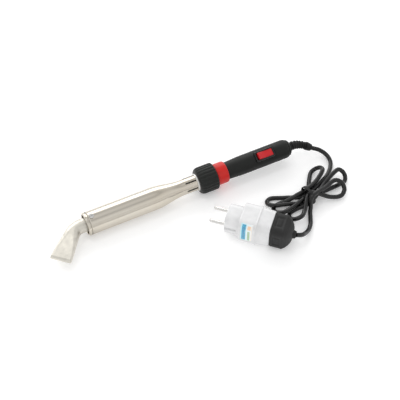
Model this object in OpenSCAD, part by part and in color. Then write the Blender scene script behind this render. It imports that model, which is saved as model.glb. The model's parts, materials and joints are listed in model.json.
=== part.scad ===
// Heavy mains soldering iron with a bent chisel tip, a rocker switch in the handle,
// a bundled cord, and a white adapter on its plug. Millimetres.
//
// The iron is drawn along X in its own frame: x = 0 is the front face of the barrel,
// the tip points to -X, the cord leaves towards +X. place_iron() then lays it on z = 0,
// on the rim of its barrel and on its collar.

/* [Soldering tip] */
// Diameter of the tip's round shank
shank_d = 17; // [14:0.5:18]
// Length of shank inside the sleeve
shank_in = 58; // [40:1:62]
// Straight shank showing in front of the barrel
shank_out = 5; // [4:1:20]
// Angle of the bend
bend_angle = 48; // [0:1:60]
// Radius of the bend, on the centre line
bend_r = 18; // [12:1:30]
// Length of the blade, after the bend
blade_len = 38; // [25:1:60]
// Width of the blade's working edge
edge_w = 25; // [14:1:32]
// Thickness of the blade's working edge
edge_t = 3; // [2:0.5:6]

/* [Barrel] */
// Outer diameter of the barrel
barrel_d = 28; // [26:0.5:34]
// Wall of the barrel
barrel_wall = 0.8; // [0.5:0.1:1.2]
// Straight length of the barrel, from its front face
barrel_straight = 85; // [70:1:110]
// Length of the taper from barrel to neck
taper_len = 39; // [25:1:60]
// Outer diameter of the neck
neck_d = 19; // [18:0.5:22]
// Length of neck showing in front of the collar
neck_len = 19; // [17:1:30]
// Number of cooling slots around the neck
slot_count = 6; // [4:1:8]
// Length of a cooling slot
slot_len = 14; // [8:1:15]
// Width of a cooling slot
slot_w = 2; // [1:0.5:3]
// Diameter of the screw that clamps the tip
clamp_screw_d = 4; // [3:0.5:5]

/* [Collar and handle] */
// Outer diameter of the black collar
collar_d = 33; // [30:0.5:38]
// Length of the collar
collar_len = 23; // [18:1:30]
// Outer diameter of the red ring
red_ring_d = 26.4; // [24:0.2:29]
// Length of the red ring
red_ring_len = 14; // [8:1:20]
// Largest diameter of the handle
handle_d = 23.2; // [21.6:0.2:26]
// Length of handle behind the red ring
handle_len = 82; // [76:1:110]
// Diameter of the bore through the handle
handle_bore_d = 15; // [14.6:0.1:15.4]

/* [Switch] */
// Turn of the switch about the handle, from straight up
switch_turn = 24; // [0:1:45]
// Length of the rocker
rocker_len = 19.2; // [16:0.2:20]
// Width of the rocker
rocker_w = 8.6; // [7:0.2:8.8]
// Rocking angle from one end to the other
rocker_throw = 14; // [8:1:16]

/* [Cord and plug] */
// Diameter of the cord
cord_d = 5.4; // [4.5:0.1:5.6]
// Width of the plug and of the end of the adapter
plug_w = 33; // [30:0.5:34]
// Depth of the plug body in front of its grip
plug_depth = 16; // [12:1:22]
// Diameter of the adapter's wall pins
wall_pin_d = 4.8; // [4:0.1:4.8]
// Length of the adapter's wall pins
wall_pin_len = 19; // [17:0.5:20]
// Distance between the pins
pin_pitch = 19; // [18:0.5:20]
// Width of the adapter's main body
adapter_w = 39; // [37:0.5:42]
// Height of the adapter's main body
adapter_h = 36; // [35:0.5:36]
// Wall of the adapter's shells
adapter_wall = 2; // [1.5:0.1:2.5]

/* [Hidden] */

$fn = 64;
RUN = 0.05;   // radial clearance of a running fit
GAP = 0.05;   // gap between fixed pieces that touch in use
EPS = 0.02;   // overlap that joins two solids

// ---- stations along the iron, from the barrel's front face ----
ring_len = 3;
groove_w = 1.2;
barrel_x = ring_len + groove_w;
barrel_id = barrel_d - 2 * barrel_wall;
neck_x = barrel_straight + taper_len;
collar_x = neck_x + neck_len;
flange_x = collar_x + 3;
flange_t = 1.8;
disc_x = flange_x + flange_t + 0.3;
disc_t = 1.8;
nose_x = disc_x + disc_t + 0.1;
red_x = collar_x + collar_len + 0.3;
grip_x = red_x + red_ring_len + 0.3;
handle_end = grip_x + handle_len;
cap_x = handle_end + 0.2;
cap_t = 3.6;
cap_end = cap_x + cap_t;

sleeve_x = 3;
sleeve_id = shank_d + 2 * RUN;
sleeve_od = shank_d + 2.6;
sleeve_stop = shank_in + 0.2;
sleeve_end = sleeve_stop + 2;
boss_x = 8.1;
screw_turn = 9;
wrap_x = 17;
wrap_end = sleeve_end - 2.4;
inner_wrap_od = sleeve_od + 2 * GAP + 1;
wire_d = 1.2;
coil_r = inner_wrap_od / 2 + GAP + wire_d / 2;
outer_wrap_id = 2 * coil_r + wire_d + 2 * GAP;
outer_wrap_od = outer_wrap_id + 1.4;

nose_d = 19.6;
lead_y = 3.5;
neck_bore = neck_d - 2 * barrel_wall;

// ---- how the iron rests: barrel rim and collar both on the floor ----
ring_d = barrel_d + 0.4;
rest_front = ring_len / 2;
rest_rear = collar_x + 8;
pitch = asin((collar_d - ring_d) / 2 / (rest_rear - rest_front));
rest_z = ring_d / 2 / cos(pitch) - rest_front * sin(pitch);
bend_end = [-shank_out - bend_r * sin(bend_angle), -bend_r * (1 - cos(bend_angle))];
tip_end = bend_end - blade_len * [cos(bend_angle), sin(bend_angle)];
x_low = tip_end[0] - edge_w / 2 * sin(bend_angle);
y_low = tip_end[1] - edge_w / 2 * cos(bend_angle);
mid_x = (x_low + cap_end) / 2;
mid_y = (y_low + collar_d / 2) / 2;

module place_iron() {
    translate([-mid_x, -mid_y, rest_z]) rotate([0, -pitch, 0]) children();
}

// ---- general shapes ----
// A cylinder along X from x0 to x1
module rod(x0, x1, d) {
    translate([x0, 0, 0]) rotate([0, 90, 0]) cylinder(d = d, h = x1 - x0);
}

// A tube along X
module pipe(x0, x1, d_out, d_in) {
    difference() {
        rod(x0, x1, d_out);
        rod(x0 - 1, x1 + 1, d_in);
    }
}

// A solid turned about X: outline is a list of [x, radius]
module turned(outline) {
    rotate([0, 90, 0]) rotate_extrude() polygon([for (p = outline) [p[1], p[0]]]);
}

// A rounded rectangle standing across X, from x0 to x1: w along Y, h along Z
module block_x(x0, x1, w, h, r) {
    translate([x0, 0, 0]) rotate([90, 0, 90]) linear_extrude(x1 - x0) round_rect(w, h, r);
}

module round_rect(w, h, r) {
    square([w - 2 * r, h], center = true);
    square([w, h - 2 * r], center = true);
    for (sx = [-1, 1], sy = [-1, 1])
        translate([sx * (w / 2 - r), sy * (h / 2 - r)]) circle(r);
}

// A thin slice of that block, for hulls
module slice_x(x, w, h, r) {
    translate([x, 0, 0]) rotate([90, 0, 90]) linear_extrude(0.2)
        for (sx = [-1, 1], sy = [-1, 1])
            translate([sx * (w / 2 - r), sy * (h / 2 - r)]) circle(r, $fn = 32);
}

// ---- swept tubes: a smooth curve through hand-placed points ----
function spline(p, i, t) =
    let (n = len(p),
         a = p[max(i - 1, 0)], b = p[i], c = p[i + 1], d = p[min(i + 2, n - 1)])
    0.5 * ((2 * b) + (c - a) * t + (2 * a - 5 * b + 4 * c - d) * t * t
        + (3 * b - a - 3 * c + d) * t * t * t);
function path_points(p, steps) =
    [for (i = [0:len(p) - 2]) for (k = [0:steps - 1]) spline(p, i, k / steps), p[len(p) - 1]];
function unit(v) = v / norm(v);
function tangent(q, i) = unit(q[min(i + 1, len(q) - 1)] - q[max(i - 1, 0)]);
function side(t) = unit(cross(t, abs(t[2]) > 0.9 ? [0, 1, 0] : [0, 0, 1]));
// A closed skin over a list of rings, each a list of the same number of points
module skin(sections) {
    rings = len(sections);
    sides = len(sections[0]);
    polyhedron([for (ring = sections) for (p = ring) p], concat(
        [[for (k = [0:sides - 1]) k]],
        [for (i = [0:rings - 2]) for (k = [0:sides - 1])
            let (a = i * sides + k, b = i * sides + (k + 1) % sides)
            [a, a + sides, b + sides, b]],
        [[for (k = [sides - 1:-1:0]) (rings - 1) * sides + k]]));
}
// A round tube along points q: radii holds one radius for each point
module sweep(q, radii, sides) {
    skin([for (i = [0:len(q) - 1])
        let (t = tangent(q, i), u = side(t), v = cross(t, u))
        [for (k = [0:sides - 1])
            q[i] + radii[i] * (cos(360 * k / sides) * u + sin(360 * k / sides) * v)]]);
}
module tube(points, d, steps, sides) {
    q = path_points(points, steps);
    sweep(q, [for (p = q) d / 2], sides);
}
// A thin wire inside the iron
module wire(points, d) {
    tube(points, d, 2, 8);
}

// ================= tip and heater =================
// The bent end is a skin over sections that change from the round shank to the flat edge.
// s runs along the centre line from the start of the bend.
arc_len = bend_r * bend_angle * PI / 180;
tip_len = arc_len + blade_len;
bevel_len = 3;
function tip_turn(s) = s <= 0 ? 0 : min(s, arc_len) / bend_r * 180 / PI;
function tip_centre(s) = s <= 0 ? [-shank_out - s, 0]
    : s <= arc_len ? [-shank_out - bend_r * sin(tip_turn(s)), -bend_r * (1 - cos(tip_turn(s)))]
    : bend_end - (s - arc_len) * [cos(bend_angle), sin(bend_angle)];
function ease(t) = t <= 0 ? 0 : t >= 1 ? 1 : t * t * (3 - 2 * t);
function tip_flat(s) = ease((s - 0.3 * arc_len) / (tip_len - 0.3 * arc_len));
skin_d = shank_d - 0.1;
function tip_width(s) = skin_d + (edge_w - skin_d) * pow(tip_flat(s), 1.4);
function tip_height(s) = s > tip_len - bevel_len
    ? edge_t + (tip_height(tip_len - bevel_len) - edge_t) * (tip_len - s) / bevel_len
    : skin_d + (edge_t + 2.4 - skin_d) * tip_flat(s);
function corner(v, power) = sign(v) * pow(abs(v), 2 / power);
tip_sides = 32;
function tip_section(s) = let (a = tip_turn(s), c = tip_centre(s), n = 2 + 5 * tip_flat(s),
        w = tip_width(s) / 2, h = tip_height(s) / 2)
    [for (k = [0:tip_sides - 1]) let (y = w * corner(cos(360 * k / tip_sides), n))
        [c[0] - y * sin(a), c[1] + y * cos(a), -h * corner(sin(360 * k / tip_sides), n)]];

module soldering_tip() {
    stations = concat([-1], [for (k = [1:5]) arc_len * k / 5],
        [for (k = [1:7]) arc_len + (blade_len - bevel_len) * k / 7], [tip_len]);
    color([0.78, 0.77, 0.74]) place_iron() {
        rod(-shank_out, shank_in, shank_d);
        skin([for (s = stations) tip_section(s)]);
    }
}

module at_clamp_screw() {
    translate([boss_x, 0, 0]) rotate([screw_turn, 0, 0]) children();
}

screw_seat = barrel_d / 2 + 0.05;
module tip_clamp_screw() {
    color([0.66, 0.66, 0.66]) place_iron() at_clamp_screw() difference() {
        union() {
            translate([0, 0, shank_d / 2 + 0.1]) cylinder(d = clamp_screw_d, h = screw_seat);
            translate([0, 0, screw_seat]) cylinder(d = clamp_screw_d * 1.5, h = 1.8);
        }
        // driver slot, and the shank's upper end trimmed flush inside the head
        translate([-clamp_screw_d, -0.5, screw_seat + 0.9])
            cube([2 * clamp_screw_d, 1, 30]);
        translate([0, 0, screw_seat + 1.8]) cylinder(d = 2 * clamp_screw_d, h = 30);
    }
}

module tip_sleeve() {
    color([0.45, 0.44, 0.43]) place_iron() difference() {
        union() {
            rod(sleeve_x, sleeve_end, sleeve_od);
            at_clamp_screw() translate([0, 0, sleeve_od / 2 - 1])
                cylinder(d = 7, h = barrel_id / 2 - sleeve_od / 2 + 0.4);
        }
        rod(sleeve_x - 1, sleeve_stop, sleeve_id);
        rod(sleeve_stop - 1, sleeve_end + 1, 6);
        at_clamp_screw() cylinder(d = clamp_screw_d + 0.1, h = 30);
    }
}

module front_ring() {
    bead = 1.2;
    color([0.80, 0.79, 0.76]) place_iron() difference() {
        turned([[0, ring_d / 2 - 3.2], [0, ring_d / 2 - bead], [bead * 0.3, ring_d / 2 - bead * 0.3],
            [bead, ring_d / 2], [ring_len, ring_d / 2], [ring_len, ring_d / 2 - 1],
            [barrel_x, ring_d / 2 - 1], [barrel_x, barrel_id / 2 - GAP],
            [barrel_x + 2, barrel_id / 2 - GAP], [barrel_x + 2, ring_d / 2 - 3.2]]);
        // the clamp boss stands in a notch of the spigot
        at_clamp_screw() cylinder(d = 7.6, h = 30);
    }
}

function barrel_r(x) = x <= barrel_straight ? barrel_d / 2
    : x >= neck_x ? neck_d / 2
    : neck_d / 2 + (barrel_d - neck_d) / 4 * (1 + cos(180 * (x - barrel_straight) / taper_len));
taper_steps = 14;
taper_stations = [for (k = [0:taper_steps]) barrel_straight + taper_len * k / taper_steps];

module barrel() {
    color([0.80, 0.79, 0.76]) place_iron() difference() {
        turned(concat([[barrel_x, barrel_r(barrel_x)]],
            [for (x = taper_stations) [x, barrel_r(x)]],
            [[flange_x, neck_d / 2], [flange_x, neck_d / 2 + 1.2],
             [flange_x + flange_t, neck_d / 2 + 1.2], [flange_x + flange_t, neck_bore / 2]],
            [for (k = [taper_steps:-1:0])
                [taper_stations[k], barrel_r(taper_stations[k]) - barrel_wall]],
            [[barrel_x, barrel_id / 2]]));
        for (k = [0:slot_count - 1]) rotate([21 + 360 * k / slot_count, 0, 0])
            translate([collar_x - 2.5 - slot_len, -slot_w / 2, 0]) cube([slot_len, slot_w, neck_d]);
        at_clamp_screw() cylinder(d = clamp_screw_d + 1, h = 30);
    }
}

module mica_inner_wrap() {
    color([0.72, 0.66, 0.52]) place_iron()
        pipe(wrap_x, wrap_end, inner_wrap_od, sleeve_od + 2 * GAP);
}

coil_pitch = 2;
coil_x0 = wrap_x + 2;
coil_turns = floor((wrap_end - 3 - coil_x0) / coil_pitch);
coil_end = coil_x0 + coil_turns * coil_pitch;
module heater_winding() {
    color([0.55, 0.50, 0.46]) place_iron()
        for (k = [0:coil_turns]) translate([coil_x0 + k * coil_pitch, 0, 0]) rotate([0, 90, 0])
            rotate_extrude() translate([coil_r, 0]) circle(d = wire_d);
}

module mica_outer_wrap() {
    color([0.72, 0.66, 0.52]) place_iron() pipe(wrap_x, wrap_end, outer_wrap_od, outer_wrap_id);
}

module heater_front_washer() {
    color([0.86, 0.84, 0.78]) place_iron()
        pipe(wrap_x - 1.8, wrap_x - 0.3, barrel_id - 2 * GAP, sleeve_od + 2 * GAP);
}

module heater_rear_washer() {
    color([0.86, 0.84, 0.78]) place_iron() difference() {
        pipe(wrap_end + 0.3, wrap_end + 2.1, barrel_id - 2 * GAP, sleeve_od + 2 * GAP);
        for (s = [-1, 1]) translate([0, s * coil_r, 0]) rod(wrap_end - 1, wrap_end + 4, wire_d + 0.4);
    }
}

tube_x = neck_x - 40;
tube_end = flange_x;
block_x0 = grip_x + 7;
block_len = 18;
block_x1 = block_x0 + block_len;
block_y = 2.8;
module heater_lead_wires() {
    color([0.62, 0.60, 0.58]) place_iron() for (s = [-1, 1])
        wire([[coil_end + wire_d / 2 + EPS, s * coil_r, 0], [sleeve_end, s * coil_r, 0],
              [sleeve_end + 3, s * coil_r, 0], [tube_x - 6, s * lead_y, 0],
              [tube_x - 3, s * lead_y, 0], [tube_end + 1, s * lead_y, 0],
              [disc_x + disc_t + 1, s * lead_y, 0], [block_x0 - 4, s * block_y, 0],
              [block_x0 - 1.5, s * block_y, 0], [block_x0 + 7, s * block_y, 0]], wire_d);
}

module ceramic_lead_tubes() {
    color([0.93, 0.92, 0.88]) place_iron() for (s = [-1, 1]) translate([0, s * lead_y, 0])
        pipe(tube_x, tube_end, 5, wire_d + 0.4);
}

// ================= collar, ring, handle =================
module neck_ferrule() {
    color([0.74, 0.74, 0.72]) place_iron() turned([[collar_x - 2.2, neck_d / 2 + GAP],
        [collar_x - 2.2, neck_d / 2 + 0.9], [collar_x - 1.5, neck_d / 2 + 1.3],
        [collar_x - 0.1, neck_d / 2 + 1.3], [collar_x - 0.1, neck_d / 2 + GAP]]);
}

collar_ribs = 24;
module collar() {
    front_r = collar_d / 2 - 4;
    nose = 6;
    color([0.11, 0.11, 0.11]) place_iron() difference() {
        turned(concat([[collar_x, neck_d / 2 + 0.1], [collar_x, front_r]],
            [for (k = [1:6]) [collar_x + nose * (1 - cos(15 * k)), front_r + 4 * sin(15 * k)]],
            [[collar_x + collar_len - 1.5, collar_d / 2], [collar_x + collar_len, collar_d / 2 - 1.5],
             [collar_x + collar_len, nose_d / 2 + GAP], [nose_x - 0.1, nose_d / 2 + GAP],
             [nose_x - 0.1, neck_d / 2 + 1.4], [flange_x - 0.1, neck_d / 2 + 1.4],
             [flange_x - 0.1, neck_d / 2 + 0.1]]));
        for (k = [0:collar_ribs - 1]) rotate([360 * (k + 0.5) / collar_ribs, 0, 0])
            translate([0, 0, collar_d / 2 + 0.4])
                rod(collar_x + nose - 1, collar_x + collar_len + 1, 2.2);
    }
}

module insulating_disc() {
    color([0.55, 0.42, 0.28]) place_iron() difference() {
        rod(disc_x, disc_x + disc_t, neck_d + 2);
        rod(disc_x - 1, disc_x + disc_t + 1, 9.4);
    }
}

module red_ring() {
    color([0.85, 0.12, 0.08]) place_iron() turned([[red_x, nose_d / 2 + GAP],
        [red_x, red_ring_d / 2 - 0.8], [red_x + 0.8, red_ring_d / 2],
        [red_x + red_ring_len - 0.8, red_ring_d / 2],
        [red_x + red_ring_len, red_ring_d / 2 - 0.8], [red_x + red_ring_len, nose_d / 2 + GAP]]);
}

switch_x = grip_x + 50;
clamp_x = switch_x + 15;
clamp_mid = clamp_x + 4.6;
clamp_y = cord_d / 2 + 1.75;
module at_switch() {
    translate([switch_x, 0, 0]) rotate([switch_turn, 0, 0]) children();
}
waist_d = 21.4;
body_len = rocker_len + 2.6;
body_w = rocker_w + 1.8;
bezel_len = body_len + 3;
bezel_w = body_w + 2;
bezel_top = handle_d / 2 + 0.8;
bezel_z = handle_d / 2 - 2.8;
body_low = -3;

module handle() {
    rear_r = handle_d / 2 - 1.6;
    swell = 23;
    color([0.10, 0.10, 0.10]) place_iron() difference() {
        turned(concat([[nose_x, nose_d / 2], [grip_x, nose_d / 2], [grip_x, waist_d / 2]],
            [for (k = [1:5]) [grip_x + swell * k / 5,
                waist_d / 2 + (handle_d - waist_d) / 4 * (1 - cos(36 * k))]],
            [for (k = [0:4]) [handle_end - 5 + 5 * sin(22.5 * k),
                rear_r + (handle_d / 2 - rear_r) * cos(22.5 * k)]],
            [[handle_end, 0], [nose_x, 0]]));
        rod(nose_x - 1, handle_end + 1, handle_bore_d);
        at_switch() {
            translate([-bezel_len / 2 - 0.1, -bezel_w / 2 - 0.1, bezel_z])
                cube([bezel_len + 0.2, bezel_w + 0.2, handle_d]);
            translate([-body_len / 2 - 0.1, -body_w / 2 - 0.1, 0])
                cube([body_len + 0.2, body_w + 0.2, handle_d]);
        }
        // screw hole of the rear cap, on the underside
        translate([cap_x - 4, 0, 0]) rotate([180, 0, 0]) cylinder(d = 2.6, h = 30);
    }
}

// ================= inside the handle =================
module terminal_block() {
    color([0.90, 0.89, 0.85]) place_iron() difference() {
        translate([block_x0, -5.5, -4]) cube([block_len, 11, 8]);
        for (s = [-1, 1]) translate([0, s * block_y, 0]) rod(block_x0 - 1, block_x0 + 19, 4 + 2 * GAP);
        for (s = [-1, 1], x = [4.5, 13.5]) translate([block_x0 + x, s * block_y, 0]) cylinder(d = 2.6, h = 9);
    }
}

module terminal_inserts() {
    color([0.80, 0.66, 0.32]) place_iron() for (s = [-1, 1]) translate([0, s * block_y, 0])
        difference() {
            pipe(block_x0 + 0.5, block_x0 + block_len - 0.5, 4, 2.2);
            for (x = [4.5, 13.5]) translate([block_x0 + x, 0, 0]) cylinder(d = 2.3, h = 9);
        }
}

module terminal_screws() {
    color([0.70, 0.70, 0.68]) place_iron() for (s = [-1, 1], x = [4.5, 13.5])
        translate([block_x0 + x, s * block_y, 0.95]) difference() {
            cylinder(d = 2.2, h = 2.9);
            translate([-2, -0.25, 2.2]) cube([4, 0.5, 2]);
        }
}

pivot_z = 6.4;
pivot_d = 2.4;
module switch_housing() {
    inner_w = rocker_w + 0.4;
    color([0.08, 0.08, 0.08]) place_iron() at_switch() difference() {
        union() {
            translate([-bezel_len / 2, -bezel_w / 2, bezel_z])
                cube([bezel_len, bezel_w, bezel_top - bezel_z]);
            translate([-body_len / 2, -body_w / 2, body_low])
                cube([body_len, body_w, bezel_top - body_low - 1]);
        }
        translate([-body_len / 2 + 0.4, -inner_w / 2, body_low + 1.2])
            cube([body_len - 0.8, inner_w, handle_d]);
        translate([0, body_w, pivot_z]) rotate([90, 0, 0])
            cylinder(d = pivot_d + 2 * RUN, h = 2 * body_w);
        for (x = [-7, 0, 7]) translate([x - 0.5, -1.6, body_low - 1]) cube([1, 3.2, 4]);
    }
}

// The rocker is drawn level and then rocked to one end, which is its rest position
rocker_top = bezel_top + 1;
module at_rocker() {
    place_iron() at_switch() translate([0, 0, pivot_z]) rotate([0, rocker_throw / 2, 0])
        translate([0, 0, -pivot_z]) children();
}
module switch_rocker() {
    half = rocker_len / 2;
    dish = [for (k = [-4:4]) [k / 4 * half, rocker_top - 1.5 * (1 - k * k / 16)]];
    color([0.88, 0.10, 0.08]) at_rocker() difference() {
        union() {
            rotate([90, 0, 0]) linear_extrude(rocker_w, center = true)
                polygon(concat(dish, [[half, pivot_z + 0.6], [2.6, pivot_z - 1.6], [1.8, 2.6],
                    [-1.8, 2.6], [-2.6, pivot_z - 1.6], [-half, pivot_z + 0.6]]));
            translate([0, body_w / 2 - 0.1, pivot_z]) rotate([90, 0, 0])
                cylinder(d = pivot_d, h = body_w - 0.2);
        }
        translate([0, 0, 2]) cylinder(d = 1.8 + 2 * GAP, h = 3);
    }
}

module switch_plunger() {
    color([0.80, 0.66, 0.32]) at_rocker() translate([0, 0, 1.4]) {
        cylinder(d = 1.8, h = 3.2);
        sphere(d = 1.8);
    }
}

module switch_contact_bar() {
    color([0.80, 0.66, 0.32]) place_iron() at_switch()
        translate([-8, -1.8, body_low + 2.3]) cube([16, 3.6, 0.7]);
}

module switch_terminals() {
    color([0.80, 0.66, 0.32]) place_iron() at_switch() for (x = [-7, 0, 7])
        translate([x - 0.4, -1.5, -6.4]) cube([0.8, 3, 8.6 + body_low]);
}

// A point in the switch's turned frame, in the iron's frame
function in_switch(x, y, z) = [switch_x + x,
    y * cos(switch_turn) - z * sin(switch_turn), y * sin(switch_turn) + z * cos(switch_turn)];
core_d = 1.4;
core_x = clamp_x - 0.5;
solder_z = -5.2;
solder_x = 7.45 + core_d / 2;
module neutral_wire() {
    color([0.15, 0.30, 0.70]) place_iron()
        wire([[core_x, -1.4, 0], in_switch(13.4, -3.4, -3.6), in_switch(9, -4, -4.9),
              in_switch(-13, -4, -4.9), [block_x1 + 2.4, -block_y, 0],
              [block_x1 - 6, -block_y, 0]], core_d);
}
module live_wire() {
    color([0.40, 0.22, 0.10]) place_iron()
        wire([[core_x, 1.4, 0], in_switch(13.2, 1.6, -4.4), in_switch(solder_x, 0, solder_z)],
            core_d);
}
module switched_live_wire() {
    color([0.40, 0.22, 0.10]) place_iron()
        wire([in_switch(-solder_x, 0, solder_z), in_switch(-12.6, 1.6, -4.6),
              [block_x1 + 2, block_y, 0], [block_x1 - 6, block_y, 0]], core_d);
}
module earth_wire() {
    color([0.35, 0.55, 0.15]) place_iron()
        wire([[flange_x - 4, 0, core_d / 2 + GAP - neck_bore / 2], [flange_x + 1, 0, -3.6],
              [nose_x + 4, 0, -3.6], [block_x0 - 3, 0, -5.6], [block_x1 + 2, 1.4, -5.9],
              in_switch(-13, 4.3, -4.8), in_switch(9, 4.3, -4.8), [core_x, 2.2, 1.9]], core_d);
}

module rear_cap() {
    rim = handle_d / 2 - 1.7;
    color([0.10, 0.10, 0.10]) place_iron() difference() {
        union() {
            turned([[cap_x, 0], [cap_x, rim], [cap_x + cap_t - 1.6, rim], [cap_end, rim - 1.6],
                [cap_end, 0]]);
            rod(cap_x - 7, cap_x + EPS, handle_bore_d - 2 * GAP);
            // tongue that carries the cord clamp
            difference() {
                rod(clamp_x + 2, cap_x, handle_bore_d - 2 * GAP);
                translate([clamp_x, -20, -3]) cube([cap_x - 7 - clamp_x, 40, 40]);
            }
        }
        rod(clamp_x - 1, cap_end + 1, cord_d + 0.6);
        translate([cap_x - 4, 0, 0]) rotate([180, 0, 0]) cylinder(d = 2.1, h = 30);
        for (s = [-1, 1]) translate([clamp_mid, s * clamp_y, -7]) cylinder(d = 1.7, h = 8);
    }
}

module cap_screw() {
    color([0.55, 0.55, 0.55]) place_iron() translate([cap_x - 4, 0, 0]) rotate([180, 0, 0])
        difference() {
            translate([0, 0, 4.2]) cylinder(d = 2, h = handle_d / 2 - 4.6);
            translate([-2, -0.3, handle_d / 2 - 1]) cube([4, 0.6, 3]);
        }
}

module cord_clamp() {
    color([0.75, 0.74, 0.70]) place_iron() difference() {
        translate([clamp_mid - 1.8, -6, -2.9]) cube([3.6, 12, 6.9]);
        rod(clamp_x - 1, clamp_x + 12, cord_d + 2 * GAP);
        for (s = [-1, 1]) translate([clamp_mid, s * clamp_y, -4]) cylinder(d = 1.9, h = 9);
        translate([clamp_mid - 5, -20, -20]) cube([10, 40, 17.1]);
    }
}

module clamp_screws() {
    color([0.70, 0.70, 0.68]) place_iron() for (s = [-1, 1])
        translate([clamp_mid, s * clamp_y, 0]) {
            translate([0, 0, -5.4]) cylinder(d = 1.6, h = 9.46);
            translate([0, 0, 4.05]) cylinder(d = 2.4, h = 0.8);
        }
}

// ================= cord =================
module cord_sheath_end() {
    color([0.07, 0.07, 0.07]) place_iron() rod(clamp_x + 0.5, cap_end - 0.05, cord_d);
}

// Point on the iron's own axis, once it lies on the floor
function on_axis(x) = [x * cos(pitch) - mid_x, -mid_y, x * sin(pitch) + rest_z];
relief_start = on_axis(cap_end + 0.1);
relief_points = [relief_start, relief_start + [8, 0, 0], relief_start + [18, -2, -3],
    relief_start + [28, -7, -8]];
relief_end = relief_points[3];
relief_ribs = 7;
function relief_r(t) = let (
        shape = t < 0.74 ? 5.2 - 1.1 * t / 0.74 : 4.9 - 1.2 * (t - 0.74) / 0.26,
        wave = t < 0.74 ? 0.5 * cos(360 * relief_ribs * t / 0.74) : 0.35)
    shape + wave;
module strain_relief() {
    q = path_points(relief_points, 16);
    n = len(q) - 1;
    color([0.07, 0.07, 0.07]) sweep(q, [for (i = [0:n]) relief_r(i / n)], 16);
}

// The free cord's route, from the strain relief to the bundle
relief_out = unit(relief_points[3] - relief_points[2]);
lead_points = [relief_end + 0.5 * relief_out, relief_end + 3 * relief_out, [197, -1.5, 6],
    [201.5, -8.5, 4], [202, -16.5, 3], [198.5, -25.5, 3], [192.6, -32.4, 3.5]];
module cord_lead() {
    color([0.07, 0.07, 0.07]) tube(lead_points, cord_d, 4, 10);
}

// The bundle: folds of cord that fan out on both sides of the place where they cross.
// Each fold is [direction, reach, half width].
hank_mid = [149, -58.8];
hank_h = 15;
hank_folds = [[42, 50, 13], [13, 60, 12], [-8, 47, 14], [160, 47, 12], [184, 41, 13],
    [216, 40, 12.5]];
module cord_hank() {
    color([0.07, 0.07, 0.07]) translate([hank_mid[0], hank_mid[1], 0]) {
        linear_extrude(hank_h) {
            circle(r = 13.3);
            for (f = hank_folds) rotate(f[0]) hull() {
                translate([f[1] - f[2], 0]) circle(r = f[2]);
                circle(r = f[2] - 0.6);
            }
        }
        cylinder(r = 11, h = hank_h + 4);
    }
}

module cord_tie() {
    color([0.10, 0.10, 0.10]) translate([hank_mid[0], hank_mid[1], 0]) rotate([0, 0, 10])
        difference() {
            translate([-2, -17.6, 0]) cube([4, 35.2, 20.2]);
            translate([-3, -16.6, -1]) cube([6, 33.2, 20.4]);
        }
}

// ---- plug and adapter: x along the pins, from the pins' root towards the cord ----
plug_at = [45, -51.2];
plug_turn = -43;
plug_z = adapter_h / 2 + 0.7;
module place_plug() {
    translate([plug_at[0], plug_at[1], plug_z]) rotate([0, 0, plug_turn]) children();
}
function in_plug(x, y, z) = [
    plug_at[0] + x * cos(plug_turn) - y * sin(plug_turn),
    plug_at[1] + x * sin(plug_turn) + y * cos(plug_turn), plug_z + z];

front_len = 17;
ridge_x = 37;
ridge_len = 1.4;
plug_x = 54;
grip_len = 8;
stub_len = 4;
screw_x = plug_x - 3;
pin_root_d = wall_pin_d - 1;
plug_end = plug_x + plug_depth + grip_len + stub_len;

tail_points = [in_plug(plug_end + 0.4, 0, 0), in_plug(plug_end + 3, 0, -0.2),
    in_plug(plug_end + 8, 2, -5), [117.5, -102.5, 6], [126, -96.5, 3], [131.4, -90, 3]];
module cord_tail() {
    color([0.07, 0.07, 0.07]) tube(tail_points, cord_d, 4, 10);
}

module plug_body() {
    x1 = plug_x + plug_depth;
    color([0.12, 0.12, 0.12]) place_plug() difference() {
        union() {
            block_x(plug_x + 0.1, x1, plug_w, plug_w, 7);
            hull() {
                slice_x(x1 - 0.1, plug_w - 1, plug_w - 1, 7);
                slice_x(x1 + 4, plug_w - 6, plug_w - 6, 8);
                slice_x(x1 + grip_len - 0.2, 18, 18, 7);
            }
            rod(x1 + grip_len - 1, plug_end, cord_d + 3.4);
        }
        for (s = [-1, 1]) translate([0, s * pin_pitch / 2, 0])
            rod(plug_x - 1, plug_x + 6 + GAP, plug_pin_d + 2 * GAP);
    }
}

socket_depth = 18.5;
plug_pin_d = 4;
module plug_pins() {
    color([0.80, 0.68, 0.36]) place_plug() for (s = [-1, 1]) translate([0, s * pin_pitch / 2, 0])
        rod(plug_x - socket_depth, plug_x + 6, plug_pin_d);
}

// Guide grooves run along both sides of the round front
module adapter_front() {
    d = 31;
    color([0.93, 0.93, 0.92]) place_plug() difference() {
        union() {
            block_x(0, front_len, d, d, 11);
            block_x(front_len - EPS, front_len + 3, d - 2, d - 2, 10);
        }
        block_x(3, front_len + 4, d - 2 * adapter_wall - 1.4, d - 2 * adapter_wall, 8);
        for (s = [-1, 1]) {
            translate([-1, s * d / 2 - 1.6, -2]) cube([15, 3.2, 4]);
            translate([0, s * pin_pitch / 2, 0]) rod(-1, 4, pin_root_d + 2 * GAP);
        }
    }
}

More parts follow.
